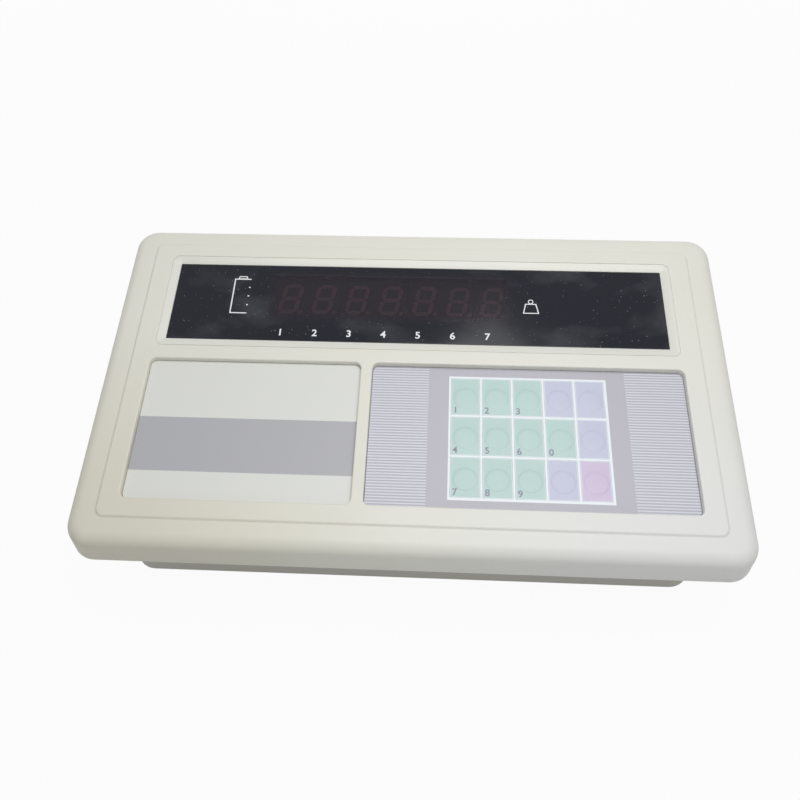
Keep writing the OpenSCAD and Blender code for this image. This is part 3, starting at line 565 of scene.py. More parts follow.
@dataclass(frozen=True)
class SmokedWindow:
    """Dark gloss window: masked at the back, clearer over the digits, with a little dust."""

    mask: Rgb = linear(17, 19, 32)
    clear: Rgb = linear(45, 40, 50)
    opening: tuple[float, float, float, float] = (-86.0, 55.0, 119.0, 155.0)
    soft: float = 6.0
    clear_alpha: float = 0.60
    dust: Rgb = linear(168, 170, 178)
    dust_pitch: float = 5.0
    dust_size: float = 0.085
    dust_fray: float = 7.0
    dust_share: float = 0.75
    smear_size: float = 26.0
    smear_stretch: Triple = (1.6, 1.0, 1.0)
    smear_start: float = 0.52
    smear_share: float = 0.4
    rough: float = 0.07
    smear_rough: float = 0.12
    shine: float = 0.25

    def build(self, name: str) -> bpy.types.Material:
        """Returns the material."""
        paint = Paint(name)
        u0, u1, v0, v1 = self.opening
        opening = paint.x.plateau(u0, u1, self.soft) * paint.slope().plateau(v0, v1, self.soft)
        smear = paint.noise(self.smear_size, 3.0, self.smear_stretch)
        film = paint.mix(((smear - self.smear_start) * self.smear_share).limited(),
                         shade(self.mask, 1.0), shade(self.dust, 1.0))
        tint = paint.mix(opening, film, shade(self.clear, 1.0))
        cells = paint.node("ShaderNodeTexVoronoi", {"voronoi_dimensions": "2D"},
                           {"Vector": paint.place, "Scale": 1 / self.dust_pitch})
        edge = (paint.noise(self.dust_fray, 2.0) * (2 * self.dust_size)
                - self.dust_size * self.dust_share)
        specks = (edge - Field(paint, cells.outputs["Distance"])).above(0.0)
        colour = paint.mix(specks * paint.noise(3.0), tint, shade(self.dust, 1.0))
        alpha = 1.0 - opening * (1.0 - self.clear_alpha)
        return paint.finish(colour, self.rough + smear * self.smear_rough, Alpha=alpha,
                            Specular_IOR_Level=self.shine)


@dataclass(frozen=True)
class Acrylic:
    """Polished sheet that lets some light through."""

    colour: Rgb
    alpha: float
    rough: float = 0.04
    haze_size: float = 60.0
    haze: float = 0.15
    haze_rough: float = 0.03
    wave_size: float = 30.0
    wave_depth: float = 0.01
    coat: float = 0.3
    coat_rough: float = 0.03

    def build(self, name: str) -> bpy.types.Material:
        """Returns the material."""
        paint = Paint(name)
        haze = paint.noise(self.haze_size, 3.0)
        colour = paint.mix(haze, shade(self.colour, 1 - self.haze),
                           shade(self.colour, 1 + self.haze))
        return paint.finish(colour, self.rough + haze * self.haze_rough,
                            paint.noise(self.wave_size), self.wave_depth, Alpha=self.alpha,
                            Coat_Weight=self.coat, Coat_Roughness=self.coat_rough)


BLACK = linear(30, 30, 33)
KEY_ROUGH = 0.42
FINISHES: dict[str, object] = {
    # The lid's finish paints shade at its front left and light at its front right.
    "lid_plastic": YellowedShellWithPaintedLight(linear(221, 220, 210), 0.46, 0.018, 0.55, 0.022),
    "base_plastic": Moulded(linear(186, 184, 176), 0.52, 0.018, 0.55, 0.03),
    "panel_steel": Moulded(linear(205, 204, 196), 0.46, 0.03, 0.8, 0.02, 0.15),
    "smoked_acrylic": SmokedWindow(),
    "circuit_board": CircuitBoard(),
    "digit_face": Moulded(linear(34, 30, 33), 0.55),
    "lamp_red": Acrylic(linear(96, 30, 30), 0.95, 0.15),
    "blanking_sheet": PrintedBand(linear(216, 217, 212), linear(171, 171, 175), 26.0, 57.2),
    "overlay_sheet": PrintedKeypad(),
    "spacer_sheet": Moulded(linear(220, 220, 216), 0.5),
    "circuit_film": Banded(linear(140, 158, 118), linear(176, 186, 150), 3.0, depth=0.02),
    "dome_steel": Metal((0.75, 0.75, 0.76), 0.25, Lay.CAST),
    "flat_cable": Banded(linear(150, 152, 156), linear(196, 198, 202), 1.27),
    "chip_plastic": Moulded(linear(38, 38, 41), 0.55, 0.03, 0.3),
    "bright_steel": Metal((0.68, 0.69, 0.70), 0.32, Lay.ACROSS),
    "capacitor_sleeve": Moulded(linear(36, 48, 80), 0.3, 0.01, 2.0, 0.05, 0.4),
    "black_aluminium": Metal((0.05, 0.05, 0.055), 0.42, Lay.UPRIGHT),
    "brass_posts": Metal((0.72, 0.52, 0.25), 0.3, Lay.TURNED),
    "core_iron": Banded(linear(88, 90, 95), linear(126, 128, 134), 0.7, depth=0.12,
                        metallic=0.7),
    "coil_tape": Banded(linear(168, 122, 42), linear(214, 178, 86), 2.2, True, 0.4, 0.15),
    "battery_case": Moulded(linear(52, 53, 58), 0.48, 0.03, 0.9),
    "black_plastic": Moulded(BLACK, 0.42, 0.015, 0.5, 0.05),
    "brass_blades": Metal((0.72, 0.64, 0.42), 0.25, Lay.UPRIGHT),
    "rocker_plastic": Moulded(linear(26, 26, 29), 0.28, 0.004, 2.0, 0.05, 0.4),
    "fuse_glass": Acrylic(linear(205, 226, 222), 0.4),
    "nickel_plate": Metal((0.66, 0.65, 0.62), 0.24, Lay.TURNED),
    "tinned_shell": Metal((0.66, 0.66, 0.66), 0.34, Lay.CAST),
    "lead_insulation": Moulded(linear(110, 62, 36), 0.45, 0.01, 1.5),
    "screw_steel": Metal((0.60, 0.60, 0.60), 0.34, Lay.TURNED),
    "foot_rubber": Moulded(linear(32, 32, 33), 0.78, 0.05, 0.5, 0.08),
    "key_green": Moulded(linear(181, 206, 202), KEY_ROUGH, 0.01, 0.45, 0.015),
    "key_lavender": Moulded(linear(193, 195, 215), KEY_ROUGH, 0.01, 0.45, 0.015),
    "key_pink": Moulded(linear(203, 189, 213), KEY_ROUGH, 0.01, 0.45, 0.015),
}
MARK_WHITE = Moulded(linear(232, 233, 236), 0.5)
KEY_WHITE = Moulded(linear(230, 236, 240), KEY_ROUGH, 0.01, 0.45, 0.01)
KEY_INK = Moulded(linear(140, 132, 152), 0.5)
SEGMENT_RED = Moulded(linear(206, 148, 156), 0.35, 0.02, 0.4)
WINDOW_MARGIN = Moulded(linear(218, 218, 209), 0.32, 0.006, 2.0, 0.02, 0.1)
CONTACT_GOLD = Metal((0.80, 0.60, 0.28), 0.22, Lay.TURNED)


class Finishes:
    """Makes each material once and hands it out by name."""

    def __init__(self) -> None:
        """Starts with no material made."""
        self.made: dict[str, bpy.types.Material] = {}

    def get(self, name: str, finish: object | None = None) -> bpy.types.Material:
        """Finds or makes a material.

        Args:
            name: Name of the material, or of the record's slot.
            finish: Finish to build where the name is no slot.

        Returns:
            The material.
        """
        if name not in self.made:
            self.made[name] = (finish or FINISHES[name]).build(name)
        return self.made[name]


PAINTS = Finishes()

# ---------------------------------------------------------------- meshes


def rounded(width: float, length: float, radius: float, steps: int = 8) -> Plan:
    """Outlines a rectangle with round corners.

    Args:
        width: Width across.
        length: Length up.
        radius: Corner radius.
        steps: Facets of each corner.

    Returns:
        Points counter-clockwise from the right side, round the middle.
    """
    out: Plan = []
    for quarter, (cx, cy) in enumerate(((1, 1), (-1, 1), (-1, -1), (1, -1))):
        for step in range(steps + 1):
            a = (quarter + step / steps) * math.pi / 2
            out.append((cx * (width / 2 - radius) + radius * math.cos(a),
                        cy * (length / 2 - radius) + radius * math.sin(a)))
    return out


def grown(width: float, length: float, radius: float, growth: float, steps: int = 8) -> Plan:
    """Outlines a rectangle with round corners, drawn out by a growth or in by a negative one."""
    return rounded(width + 2 * growth, length + 2 * growth, max(0.05, radius + growth), steps)


def circle(radius: float, steps: int) -> Plan:
    """Returns the points of a circle."""
    return [(radius * math.cos(math.tau * i / steps), radius * math.sin(math.tau * i / steps))
            for i in range(steps)]


class Skin:
    """Grows a closed mesh out of rings of points and flat panels between them."""

    def __init__(self) -> None:
        """Starts an empty mesh."""
        self.bm = bmesh.new()

    def ring(self, points: Iterable[Vector]) -> list[bmesh.types.BMVert]:
        """Adds a ring of points."""
        return [self.bm.verts.new(p) for p in points]

    def level(self, plan: Iterable[Sequence[float]], z: float) -> list[bmesh.types.BMVert]:
        """Adds a ring of an outline at a height, both in millimetres."""
        return self.ring(Vector((x, y, z)) * MM for x, y in plan)

    def on_face(self, u: float, s: float, plan: Plan, n: float) -> list[bmesh.types.BMVert]:
        """Adds a ring of an outline round a place on the case's face, n above it."""
        return self.ring(SIZES.on_face(u + x, s + y, n) for x, y in plan)

    def loft(self, rings: Sequence[Sequence[bmesh.types.BMVert]], tint: int = 0) -> None:
        """Joins rings of as many points by quads.

        Args:
            rings: The rings in order.
            tint: Number of the material.
        """
        for a, b in zip(rings, rings[1:]):
            for i in range(len(a)):
                j = (i + 1) % len(a)
                self.bm.faces.new((a[i], a[j], b[j], b[i])).material_index = tint

    def panel(self, outer: Sequence[bmesh.types.BMVert],
              holes: Sequence[Sequence[bmesh.types.BMVert]] = (), tint: int = 0) -> None:
        """Fills a flat outline.

        Args:
            outer: The ring round it.
            holes: Rings that stay open.
            tint: Number of the material.
        """
        if not holes:
            self.bm.faces.new(outer).material_index = tint
            return
        rings = [outer, *holes]
        flat = [v for r in rings for v in r]
        for tri in tessellate_polygon([[v.co for v in r] for r in rings]):
            if len(set(tri)) == 3:
                self.bm.faces.new([flat[i] for i in tri]).material_index = tint

    def solid(self, rings: Sequence[Sequence[bmesh.types.BMVert]]) -> None:
        """Joins rings by quads and closes both ends."""
        self.loft(rings)
        self.panel(rings[0])
        self.panel(rings[-1])

    def hub(self, ring: Sequence[bmesh.types.BMVert], centre: Vector, tint: int = 0) -> None:
        """Closes a ring with a fan to a centre."""
        mid = self.bm.verts.new(centre)
        for i in range(len(ring)):
            self.bm.faces.new((ring[i], ring[(i + 1) % len(ring)], mid)).material_index = tint

    def mesh(self, name: str, sharp_degrees: float = SHARP_DEGREES) -> bpy.types.Mesh:
        """Ends the mesh.

        Args:
            name: Name of the mesh.
            sharp_degrees: Edges that turn by more than this stay sharp.

        Returns:
            The mesh, with its faces pointing outwards.
        """
        bmesh.ops.recalc_face_normals(self.bm, faces=self.bm.faces)
        for face in self.bm.faces:
            face.smooth = True
        made = bpy.data.meshes.new(name)
        self.bm.to_mesh(made)
        self.bm.free()
        made.set_sharp_from_angle(angle=math.radians(sharp_degrees))
        return made


def prism(outline: Profile, stations: Profile, name: str,
          grow: Callable[[float], Plan] | None = None) -> bpy.types.Mesh:
    """Raises an outline through stations, with both ends closed.

    Args:
        outline: Points of the outline in millimetres.
        stations: Pairs of growth and height in millimetres.
        name: Name of the mesh.
        grow: Gives the outline for a growth; without it, the outline is scaled.

    Returns:
        The mesh, with its base on the XY plane.
    """
    skin = Skin()
    reach = max(abs(c) for p in outline for c in p)
    rings = []
    for size, height in stations:
        plan = grow(size) if grow else [(x * (1 + size / reach), y * (1 + size / reach))
                                        for x, y in outline]
        rings.append(skin.level(plan, height))
    skin.solid(rings)
    return skin.mesh(name)


def plate(width: float, length: float, radius: float, thick: float, edge: float,
          name: str) -> bpy.types.Mesh:
    """Makes a flat plate with round corners and softened edges.

    Args:
        width: Width in millimetres.
        length: Length in millimetres.
        radius: Corner radius.
        thick: Thickness.
        edge: Rounding of the top edge.
        name: Name of the mesh.

    Returns:
        The mesh, with its underside on the XY plane.
    """
    def plan(growth: float) -> Plan:
        """Returns the outline drawn in or out."""
        return grown(width, length, radius, growth)

    facets, flat = 4, 0.3
    bend = [(-edge * (1 - math.cos(a)), thick - edge + edge * math.sin(a))
            for a in (math.pi / 2 * i / facets for i in range(facets + 1))]
    return prism(plan(0), [(0, 0), *bend, (-edge - flat, thick)], name, plan)


def joined(meshes: Sequence[tuple[bpy.types.Mesh, Matrix]], name: str) -> bpy.types.Mesh:
    """Joins placed copies of meshes into one, with their materials' numbers kept.

    Args:
        meshes: Pairs of a mesh and its placing.
        name: Name of the new mesh.

    Returns:
        The mesh.
    """
    bm = bmesh.new()
    for mesh, placing in meshes:
        copy = mesh.copy()
        copy.transform(placing)
        bm.from_mesh(copy)
        bpy.data.meshes.remove(copy)
    made = bpy.data.meshes.new(name)
    bm.to_mesh(made)
    bm.free()
    made.set_sharp_from_angle(angle=math.radians(SHARP_DEGREES))
    return made


def put(name: str, data: bpy.types.ID) -> bpy.types.Object:
    """Returns a new object of the scene that holds the data."""
    made = bpy.data.objects.new(name, data)
    bpy.context.scene.collection.objects.link(made)
    return made


def settled(host: bpy.types.Object) -> bpy.types.Mesh:
    """Returns an object's evaluated shape as a plain mesh."""
    graph = bpy.context.evaluated_depsgraph_get()
    return bpy.data.meshes.new_from_object(host.evaluated_get(graph), depsgraph=graph)


def piece(name: str, mesh: bpy.types.Mesh, body: str, slot: str,
          paints: Sequence[bpy.types.Material] = (), replaces: Sequence[str] = (),
          at: Matrix | None = None) -> None:
    """Adds a finished piece to the scene.

    Args:
        name: Name of the piece.
        mesh: Its mesh.
        body: CAD body that it moves with.
        slot: The record's material slot.
        paints: Materials by number; the slot's own where there are none.
        replaces: CAD nodes that it stands for.
        at: Its placing in the row frame, where the mesh isn't placed yet.
    """
    if at is not None:
        mesh.transform(at)
    if len(mesh.materials) == 0:
        for paint in paints or (PAINTS.get(slot),):
            mesh.materials.append(paint)
    made = put(name, mesh)
    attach(made, body)
    if replaces:
        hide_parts(*replaces)
    LOG.info("%s: %d faces", name, len(mesh.polygons))


def lettering(text: str, height: float, name: str, weight: float) -> bpy.types.Mesh:
    """Makes plain upright characters as a thin mesh.

    Args:
        text: The characters.
        height: Size of the characters in millimetres.
        name: Name of the mesh.
        weight: How much heavier the strokes are on each side.

    Returns:
        The mesh, centred on the origin.
    """
    curve = bpy.data.curves.new(name, "FONT")
    curve.body, curve.size, curve.extrude = text, height / CAPITAL_SHARE * MM, INK / 2 * MM
    curve.offset = weight * MM
    curve.align_x, curve.align_y = "CENTER", "CENTER"
    host = put(name, curve)
    made = settled(host)
    bpy.data.objects.remove(host)
    return made


def line_sign(outline: Profile, width: float, name: str) -> bpy.types.Mesh:
    """Makes a printed line round an outline.

    Args:
        outline: Its corners in millimetres.
        width: Width of the line.
        name: Name of the mesh.

    Returns:
        The mesh.
    """
    skin = Skin()
    inner, outer = [], []
    for i, corner in enumerate(outline):
        here = Vector(corner)
        a = (here - Vector(outline[i - 1])).normalized()
        b = (Vector(outline[(i + 1) % len(outline)]) - here).normalized()
        side = Vector((a.y + b.y, -a.x - b.x)).normalized()
        reach = width / 2 / max(0.3, math.sqrt((1 + a.dot(b)) / 2))
        outer.append(here + side * reach)
        inner.append(here - side * reach)
    rings = [skin.level(path, z) for path, z in ((outer, 0), (outer, INK), (inner, INK),
                                                 (inner, 0))]
    skin.loft([*rings, rings[0]])
    return skin.mesh(name)


def flat_sign(outline: Profile, name: str) -> bpy.types.Mesh:
    """Returns a thin printed patch with an outline."""
    return prism(outline, [(0, 0.0), (0, INK)], name)


# ---------------------------------------------------------------- repeated pieces


class Pattern(Enum):
    """Ways in which copies of a piece are set out."""

    ROW = "row"
    CIRCLE = "circle"
    POINTS = "points"


class Copies(Nodes):
    """A Geometry Nodes tree that sets out copies of a piece and gives them a finish."""

    def __init__(self, pattern: Pattern) -> None:
        """Builds the tree.

        Args:
            pattern: How the copies are set out.
        """
        super().__init__(bpy.data.node_groups.new(f"copies in a {pattern.value}",
                                                  "GeometryNodeTree"))
        self.sockets: dict[str, str] = {}
        self._input("Geometry", "NodeSocketGeometry")
        self.tree.interface.new_socket(name="Geometry", in_out="OUTPUT",
                                       socket_type="NodeSocketGeometry")
        for name, kind in (("Piece", "Object"), ("Finish", "Material"), ("Count", "Int"),
                           ("Radius", "Float"), ("Start", "Vector"), ("Step", "Vector"),
                           ("Size", "Float")):
            self._input(name, f"NodeSocket{kind}")
        source = self.node("NodeGroupInput")
        got = {o.name: o for o in source.outputs}
        info = self.node("GeometryNodeObjectInfo", {}, {"Object": got["Piece"]})
        turn: object = (0.0, 0.0, 0.0)
        if pattern is Pattern.ROW:
            points = self.node("GeometryNodeMeshLine", {"mode": "OFFSET"},
                               {"Count": got["Count"], "Start Location": got["Start"],
                                "Offset": got["Step"]}).outputs[0]
        elif pattern is Pattern.CIRCLE:
            points = self.node("GeometryNodeMeshCircle", {},
                               {"Vertices": got["Count"], "Radius": got["Radius"]}).outputs[0]
            place = self.node("GeometryNodeInputPosition").outputs[0]
            turn = self.node("FunctionNodeAlignRotationToVector", {"axis": "X"},
                             {"Vector": place}).outputs[0]
        else:
            points = got["Geometry"]
            turn = self.node("GeometryNodeInputNamedAttribute", {"data_type": "FLOAT_VECTOR"},
                             {"Name": "turn"}).outputs[0]
        instances = self.node("GeometryNodeInstanceOnPoints", {},
                              {"Points": points, "Instance": info.outputs["Geometry"],
                               "Rotation": turn, "Scale": got["Size"]})
        real = self.node("GeometryNodeRealizeInstances", {}, {0: instances.outputs[0]})
        dressed = self.node("GeometryNodeSetMaterial", {},
                            {"Geometry": real.outputs[0], "Material": got["Finish"]})
        self.node("NodeGroupOutput", {}, {0: dressed.outputs[0]})

    def _input(self, name: str, kind: str) -> None:
        """Adds a named input to the tree."""
        made = self.tree.interface.new_socket(name=name, in_out="INPUT", socket_type=kind)
        self.sockets[name] = made.identifier

    def make(self, name: str, source: bpy.types.Mesh, paint: bpy.types.Material,
             points: Sequence[tuple[Vector, Vector]] = (), **sizes: object) -> bpy.types.Mesh:
        """Runs the tree.

        Args:
            name: Name of the mesh.
            source: Mesh that is repeated.
            paint: Material of the copies.
            points: Places and turns, for copies on points.
            **sizes: Values of the tree's named inputs, in metres.

        Returns:
            The copies as one plain mesh.
        """
        pattern = put(f"{name}_source", source)
        base = bpy.data.meshes.new(f"{name}_base")
        base.from_pydata([p for p, _ in points], [], [])
        turns = base.attributes.new("turn", "FLOAT_VECTOR", "POINT")
        for spot, (_, turn) in zip(turns.data, points):
            spot.vector = turn
        host = put(f"{name}_host", base)
        modifier = host.modifiers.new("copies", "NODES")
        modifier.node_group = self.tree
        values = {"Piece": pattern, "Finish": paint, "Count": 1, "Radius": 0.0,
                  "Start": (0.0, 0.0, 0.0), "Step": (0.0, 0.0, 0.0), "Size": 1.0, **sizes}
        for key, value in values.items():
            modifier[self.sockets[key]] = value
        out = settled(host)
        out.name = name
        host.modifiers.remove(modifier)
        for made in (pattern, host):
            bpy.data.objects.remove(made)
        out.set_sharp_from_angle(angle=math.radians(SHARP_DEGREES))
        return out


# ---------------------------------------------------------------- sub-assemblies


@dataclass
class Lid:
    """The upper shell: a sloped slab with a soft edge, a raised face and its recesses."""

    lip: float = 0.7
    step_run: float = 1.3
    soften: float = 0.7
    groove: float = 0.35
    ceiling: float = -6.0
    steps: int = 10
    edge_steps: int = 9
    lip_profile: Profile = ((1.0, 0.0), (0.25, 0.3), (0.0, 1.0))
    step_margin: float = 0.6
    step_profile: Profile = ((1.0, 0.0), (0.8, 0.06), (0.55, 0.3), (0.3, 0.72), (0.1, 0.93))
    flat_insets: tuple[float, float] = (0.25, 0.7)
    rim_margin: float = 0.3
    rim_profile: Profile = ((1.0, 0.0), (0.5, 0.13), (0.13, 0.5), (0.0, 1.0))
    groove_depth: float = 0.5
    window_gap: float = 0.12
    window_corner: float = 0.4
    corner_share: float = 0.62
    margin_first: int = 4
    margin_last: int = 8
    skin: Skin = field(default_factory=Skin)

    def wall_ring(self, inset: float, n: float) -> list[bmesh.types.BMVert]:
        """Adds a ring of the upright walls, drawn in by inset, on a plane n above the face."""
        c = SIZES
        plan = rounded(c.width - 2 * inset, c.depth - 2 * inset, c.corner - inset, self.steps)
        return self.skin.ring(Vector((x, y, c.face_z(y, n))) * MM for x, y in plan)

    def edge_ring(self, share: float) -> list[bmesh.types.BMVert]:
        """Adds a ring of the soft edge.

        Args:
            share: 0 at the upright wall and 1 at the face.

        Returns:
            The ring.
        """
        c = SIZES
        normal = Vector((0, -math.sin(c.tilt), math.cos(c.tilt)))
        core = rounded(c.width - 2 * c.edge, c.depth - 2 * c.edge, c.corner - c.edge, self.steps)
        points = []
        for i, (x, y) in enumerate(core):
            quarter, step = divmod(i, self.steps + 1)
            a = (quarter + step / self.steps) * math.pi / 2
            out = Vector((math.cos(a), math.sin(a), 0))
            angle = out.angle(normal)
            turn = (math.sin((1 - share) * angle) * out
                    + math.sin(share * angle) * normal) / math.sin(angle)
            points.append((Vector((x, y, c.face_z(y, -c.edge))) + turn * c.edge) * MM)
        return self.skin.ring(points)

    def face_rings(self, u: float, s: float, width: float, length: float, radius: float,
                   profile: Profile) -> list[list[bmesh.types.BMVert]]:
        """Adds rings with round corners on the face.

        Args:
            u: Place across.
            s: Place up the slope.
            width: Width across.
            length: Length up the slope.
            radius: Corner radius.
            profile: Pairs of growth and height, in the order of the rings.

        Returns:
            The rings.
        """
        return [self.skin.on_face(u, s, grown(width, length, radius, g, self.steps), n)
                for g, n in profile]

    def window_rings(self, profile: Profile) -> list[list[bmesh.types.BMVert]]:
        """Adds the window's margin and seat.

        Args:
            profile: Pairs of growth and height, from the top.

        Returns:
            The rings.
        """
        c = SIZES
        rings = []
        for growth, n in profile:
            corner = self.window_corner + max(0.0, growth) * self.corner_share
            plan = rounded(c.window_width + 2 * growth, c.window_length + 2 * growth, corner,
                           self.steps)
            rings.append(self.skin.on_face(0, c.window_mid, plan, n))
        first, last = self.margin_first, self.margin_last
        self.skin.loft(rings[:first + 1])
        self.skin.loft(rings[first:last + 1], 1)
        self.skin.loft(rings[last:])
        return rings

    def build(self) -> None:
        """Makes the lid."""
        c = SIZES
        drop, top = -c.lid_drop, c.plateau_rise
        bottom_in = self.wall_ring(c.wall, drop)
        roof = self.wall_ring(c.wall, self.ceiling)
        outside = [roof, bottom_in]
        outside += [self.wall_ring(self.lip * inset, drop + self.lip * up)
                    for inset, up in self.lip_profile]
        outside += [self.edge_ring(i / self.edge_steps) for i in range(self.edge_steps + 1)]
        run = [(self.step_run + self.step_margin, 0.0),
               *((self.step_run * out, top * up) for out, up in self.step_profile),
               *((-inset, top) for inset in self.flat_insets)]
        outside += self.face_rings(0, c.plateau_mid, c.plateau_width, c.plateau_length,
                                   c.plateau_corner, run)
        self.skin.loft(outside)
        k = self.soften
        rim = [(k + self.rim_margin, top),
               *((k * out, top - k * down) for out, down in self.rim_profile)]
        mouths = []
        for mid, width, floor in ((c.blank_mid, c.blank_width, c.blank_under),
                                  (c.keypad_mid, c.keypad_width, c.keypad_floor)):
            recess = self.face_rings(mid, c.recess_mid, width, c.recess_length, c.recess_corner,
                                     [*rim, (0, floor)])
            self.skin.loft(recess)
            self.skin.panel(recess[-1])
            mouths.append(recess[0])
        b, gap, g = c.window_bevel, self.window_gap, self.groove
        bed = top - self.groove_depth
        groove = [(b + g + 0.7, top), (b + g + 0.2, top), (b + g * 0.8, top - 0.12),
                  (b + g * 0.6, bed)]
        margin = [(b, bed), (b - 0.1, top - 0.2), (b - 0.35, top - 0.1),
                  (gap + 0.25, c.window_top + 0.3), (gap, c.window_top + 0.1)]
        seat = [(gap, c.window_under), (-c.window_ledge, c.window_under),
                (-c.window_ledge, self.ceiling)]
        window = self.window_rings([*groove, *margin, *seat])
        self.skin.panel(outside[-1], [*mouths, window[0]])
        self.skin.panel(roof, [window[-1]])
        piece("lid_skin", self.skin.mesh("lid_skin"), "case", "lid_plastic",
              [PAINTS.get("lid_plastic"), PAINTS.get("window_margin", WINDOW_MARGIN)],
              ["upper_shell"])


@dataclass
class Display:
    """The smoked window with its digits, lamps' numbers and small signs."""

    digits: int = 7
    pitch: float = 19.32
    middle: float = -14.65
    digit_up: float = 4.8
    digit_top: float = -3.5
    digit_height: float = 20.4
    digit_width: float = 11.6
    slant: float = math.radians(9.0)
    stroke: float = 2.5
    bar_gap: float = 0.35
    bar_heights: tuple[float, float] = (-0.1, 0.15)
    point_radius: float = 1.3
    point_right: float = 3.1
    pane_corner: float = 0.5
    pane_edge: float = 0.35
    mark_height: float = 4.3
    mark_up: float = -20.7
    mark_left: float = 3.0
    mark_weight: float = 0.12
    sign_line: float = 0.6
    battery_at: tuple[float, float] = (-101.5, 136.0)
    battery_half_width: float = 4.9
    battery_half_height: float = 12.2
    battery_line: float = 0.7
    battery_cap: Profile = ((-2.6, 0.0), (2.6, 0.0), (2.1, 1.5), (-2.1, 1.5))
    dot_rows: tuple[float, ...] = (-6.1, 0.0, 6.1)
    dot_radius: float = 0.5
    weight_at: tuple[float, float] = (65.0, 132.2)
    weight_outline: Profile = ((-4.2, -4.2), (4.2, -4.2), (2.9, 2.0), (-2.9, 2.0))
    knob_up: float = 3.7
    knob_radius: float = 1.3
    knob_line: float = 0.5

    def window(self) -> None:
        """Makes the window plate."""
        c = SIZES
        thick = c.window_top - c.window_under
        mesh = plate(c.window_width, c.window_length, self.pane_corner, thick, self.pane_edge,
                     "window_pane")
        piece("window_pane", mesh, "case", "smoked_acrylic", replaces=["display_window"],
              at=c.face_matrix(0, c.window_mid, c.window_under))

    def segment(self, cx: float, cy: float, length: float, upright: bool) -> Plan:
        """Outlines one bar of a digit.

        Args:
            cx: Middle across, before the slant.
            cy: Middle up.
            length: Length of the bar.
            upright: Whether it stands.

        Returns:
            Its six corners in millimetres.
        """
        h, t = length / 2, self.stroke / 2
        bar = [(-h, 0), (-h + t, -t), (h - t, -t), (h, 0), (h - t, t), (-h + t, t)]
        if upright:
            bar = [(-y, x) for x, y in bar]
        lean = math.tan(self.slant)
        return [(cx + x + (cy + y) * lean, cy + y) for x, y in bar]

    def digit(self) -> bpy.types.Mesh:
        """Makes the bars and the point of one digit."""
        gap = self.bar_gap
        w, h = self.digit_width - self.stroke, self.digit_height - self.stroke
        outlines = [self.segment(0, y, w - gap, False) for y in (-h / 2, 0, h / 2)]
        outlines += [self.segment(x * w / 2, y * h / 4, h / 2 - gap, True)
                     for x in (-1, 1) for y in (-1, 1)]
        lean = -h / 2 * math.tan(self.slant)
        outlines.append([(x + w / 2 + self.point_right + lean, y - h / 2)
                         for x, y in circle(self.point_radius, 16)])
        skin = Skin()
        for outline in outlines:
            skin.solid([skin.level(outline, z) for z in self.bar_heights])
        return skin.mesh("digit_bars")

    def segments(self) -> None:
        """Sets out the digits' bars."""
        first = (self.middle - (self.digits - 1) / 2 * self.pitch) * MM
        red = PAINTS.get("segment_red", SEGMENT_RED)
        mesh = Copies(Pattern.ROW).make(
            "digit_bars", self.digit(), red, Count=self.digits, Start=(first, 0.0, 0.0),
            Step=(self.pitch * MM, 0.0, 0.0))
        piece("digit_bars", mesh, "case", "digit_face", [red],
              at=SIZES.face_matrix(0, SIZES.window_mid + self.digit_up, self.digit_top))

    def signs(self) -> None:
        """Prints plain numbers beside the lamps, a battery and a weight on the window."""
        c = SIZES
        made = []
        for i in range(self.digits):
            u = self.middle + (i - (self.digits - 1) / 2) * self.pitch - self.mark_left
            text = lettering(str(i + 1), self.mark_height, "mark", self.mark_weight)
            made.append((text, c.face_matrix(u, c.window_mid + self.mark_up, c.window_top + INK)))
        battery, scales = (c.face_matrix(u, c.rim_front + v, c.window_top + INK / 2)
                           for u, v in (self.battery_at, self.weight_at))
        w, h, line = self.battery_half_width, self.battery_half_height, self.battery_line
        cell = [(w, -h), (w, -h + line), (-w + line, -h + line), (-w + line, h - line),
                (w, h - line), (w, h), (-w, h), (-w, -h)]
        cap = [(x, h + y) for x, y in self.battery_cap]
        made.append((flat_sign(cell, "cell"), battery))
        made.append((line_sign(cap, self.sign_line, "cap"), battery))
        for up in self.dot_rows:
            dot = [(x + w - line / 2, y + up) for x, y in circle(self.dot_radius, 12)]
            made.append((flat_sign(dot, "dot"), battery))
        made.append((line_sign(self.weight_outline, self.sign_line, "weight"), scales))
        knob = [(x, y + self.knob_up) for x, y in circle(self.knob_radius, 20)]
        made.append((line_sign(knob, self.knob_line, "knob"), scales))
        piece("window_signs", joined(made, "window_signs"), "case", "smoked_acrylic",
              [PAINTS.get("mark_white", MARK_WHITE)])

    def build(self) -> None:
        """Makes the display's pieces."""
        self.window()
        self.segments()
        self.signs()


class KeyTint(Enum):
    """Colours of the keys, as the record's slots."""

    GREEN = "key_green"
    LAVENDER = "key_lavender"
    PINK = "key_pink"


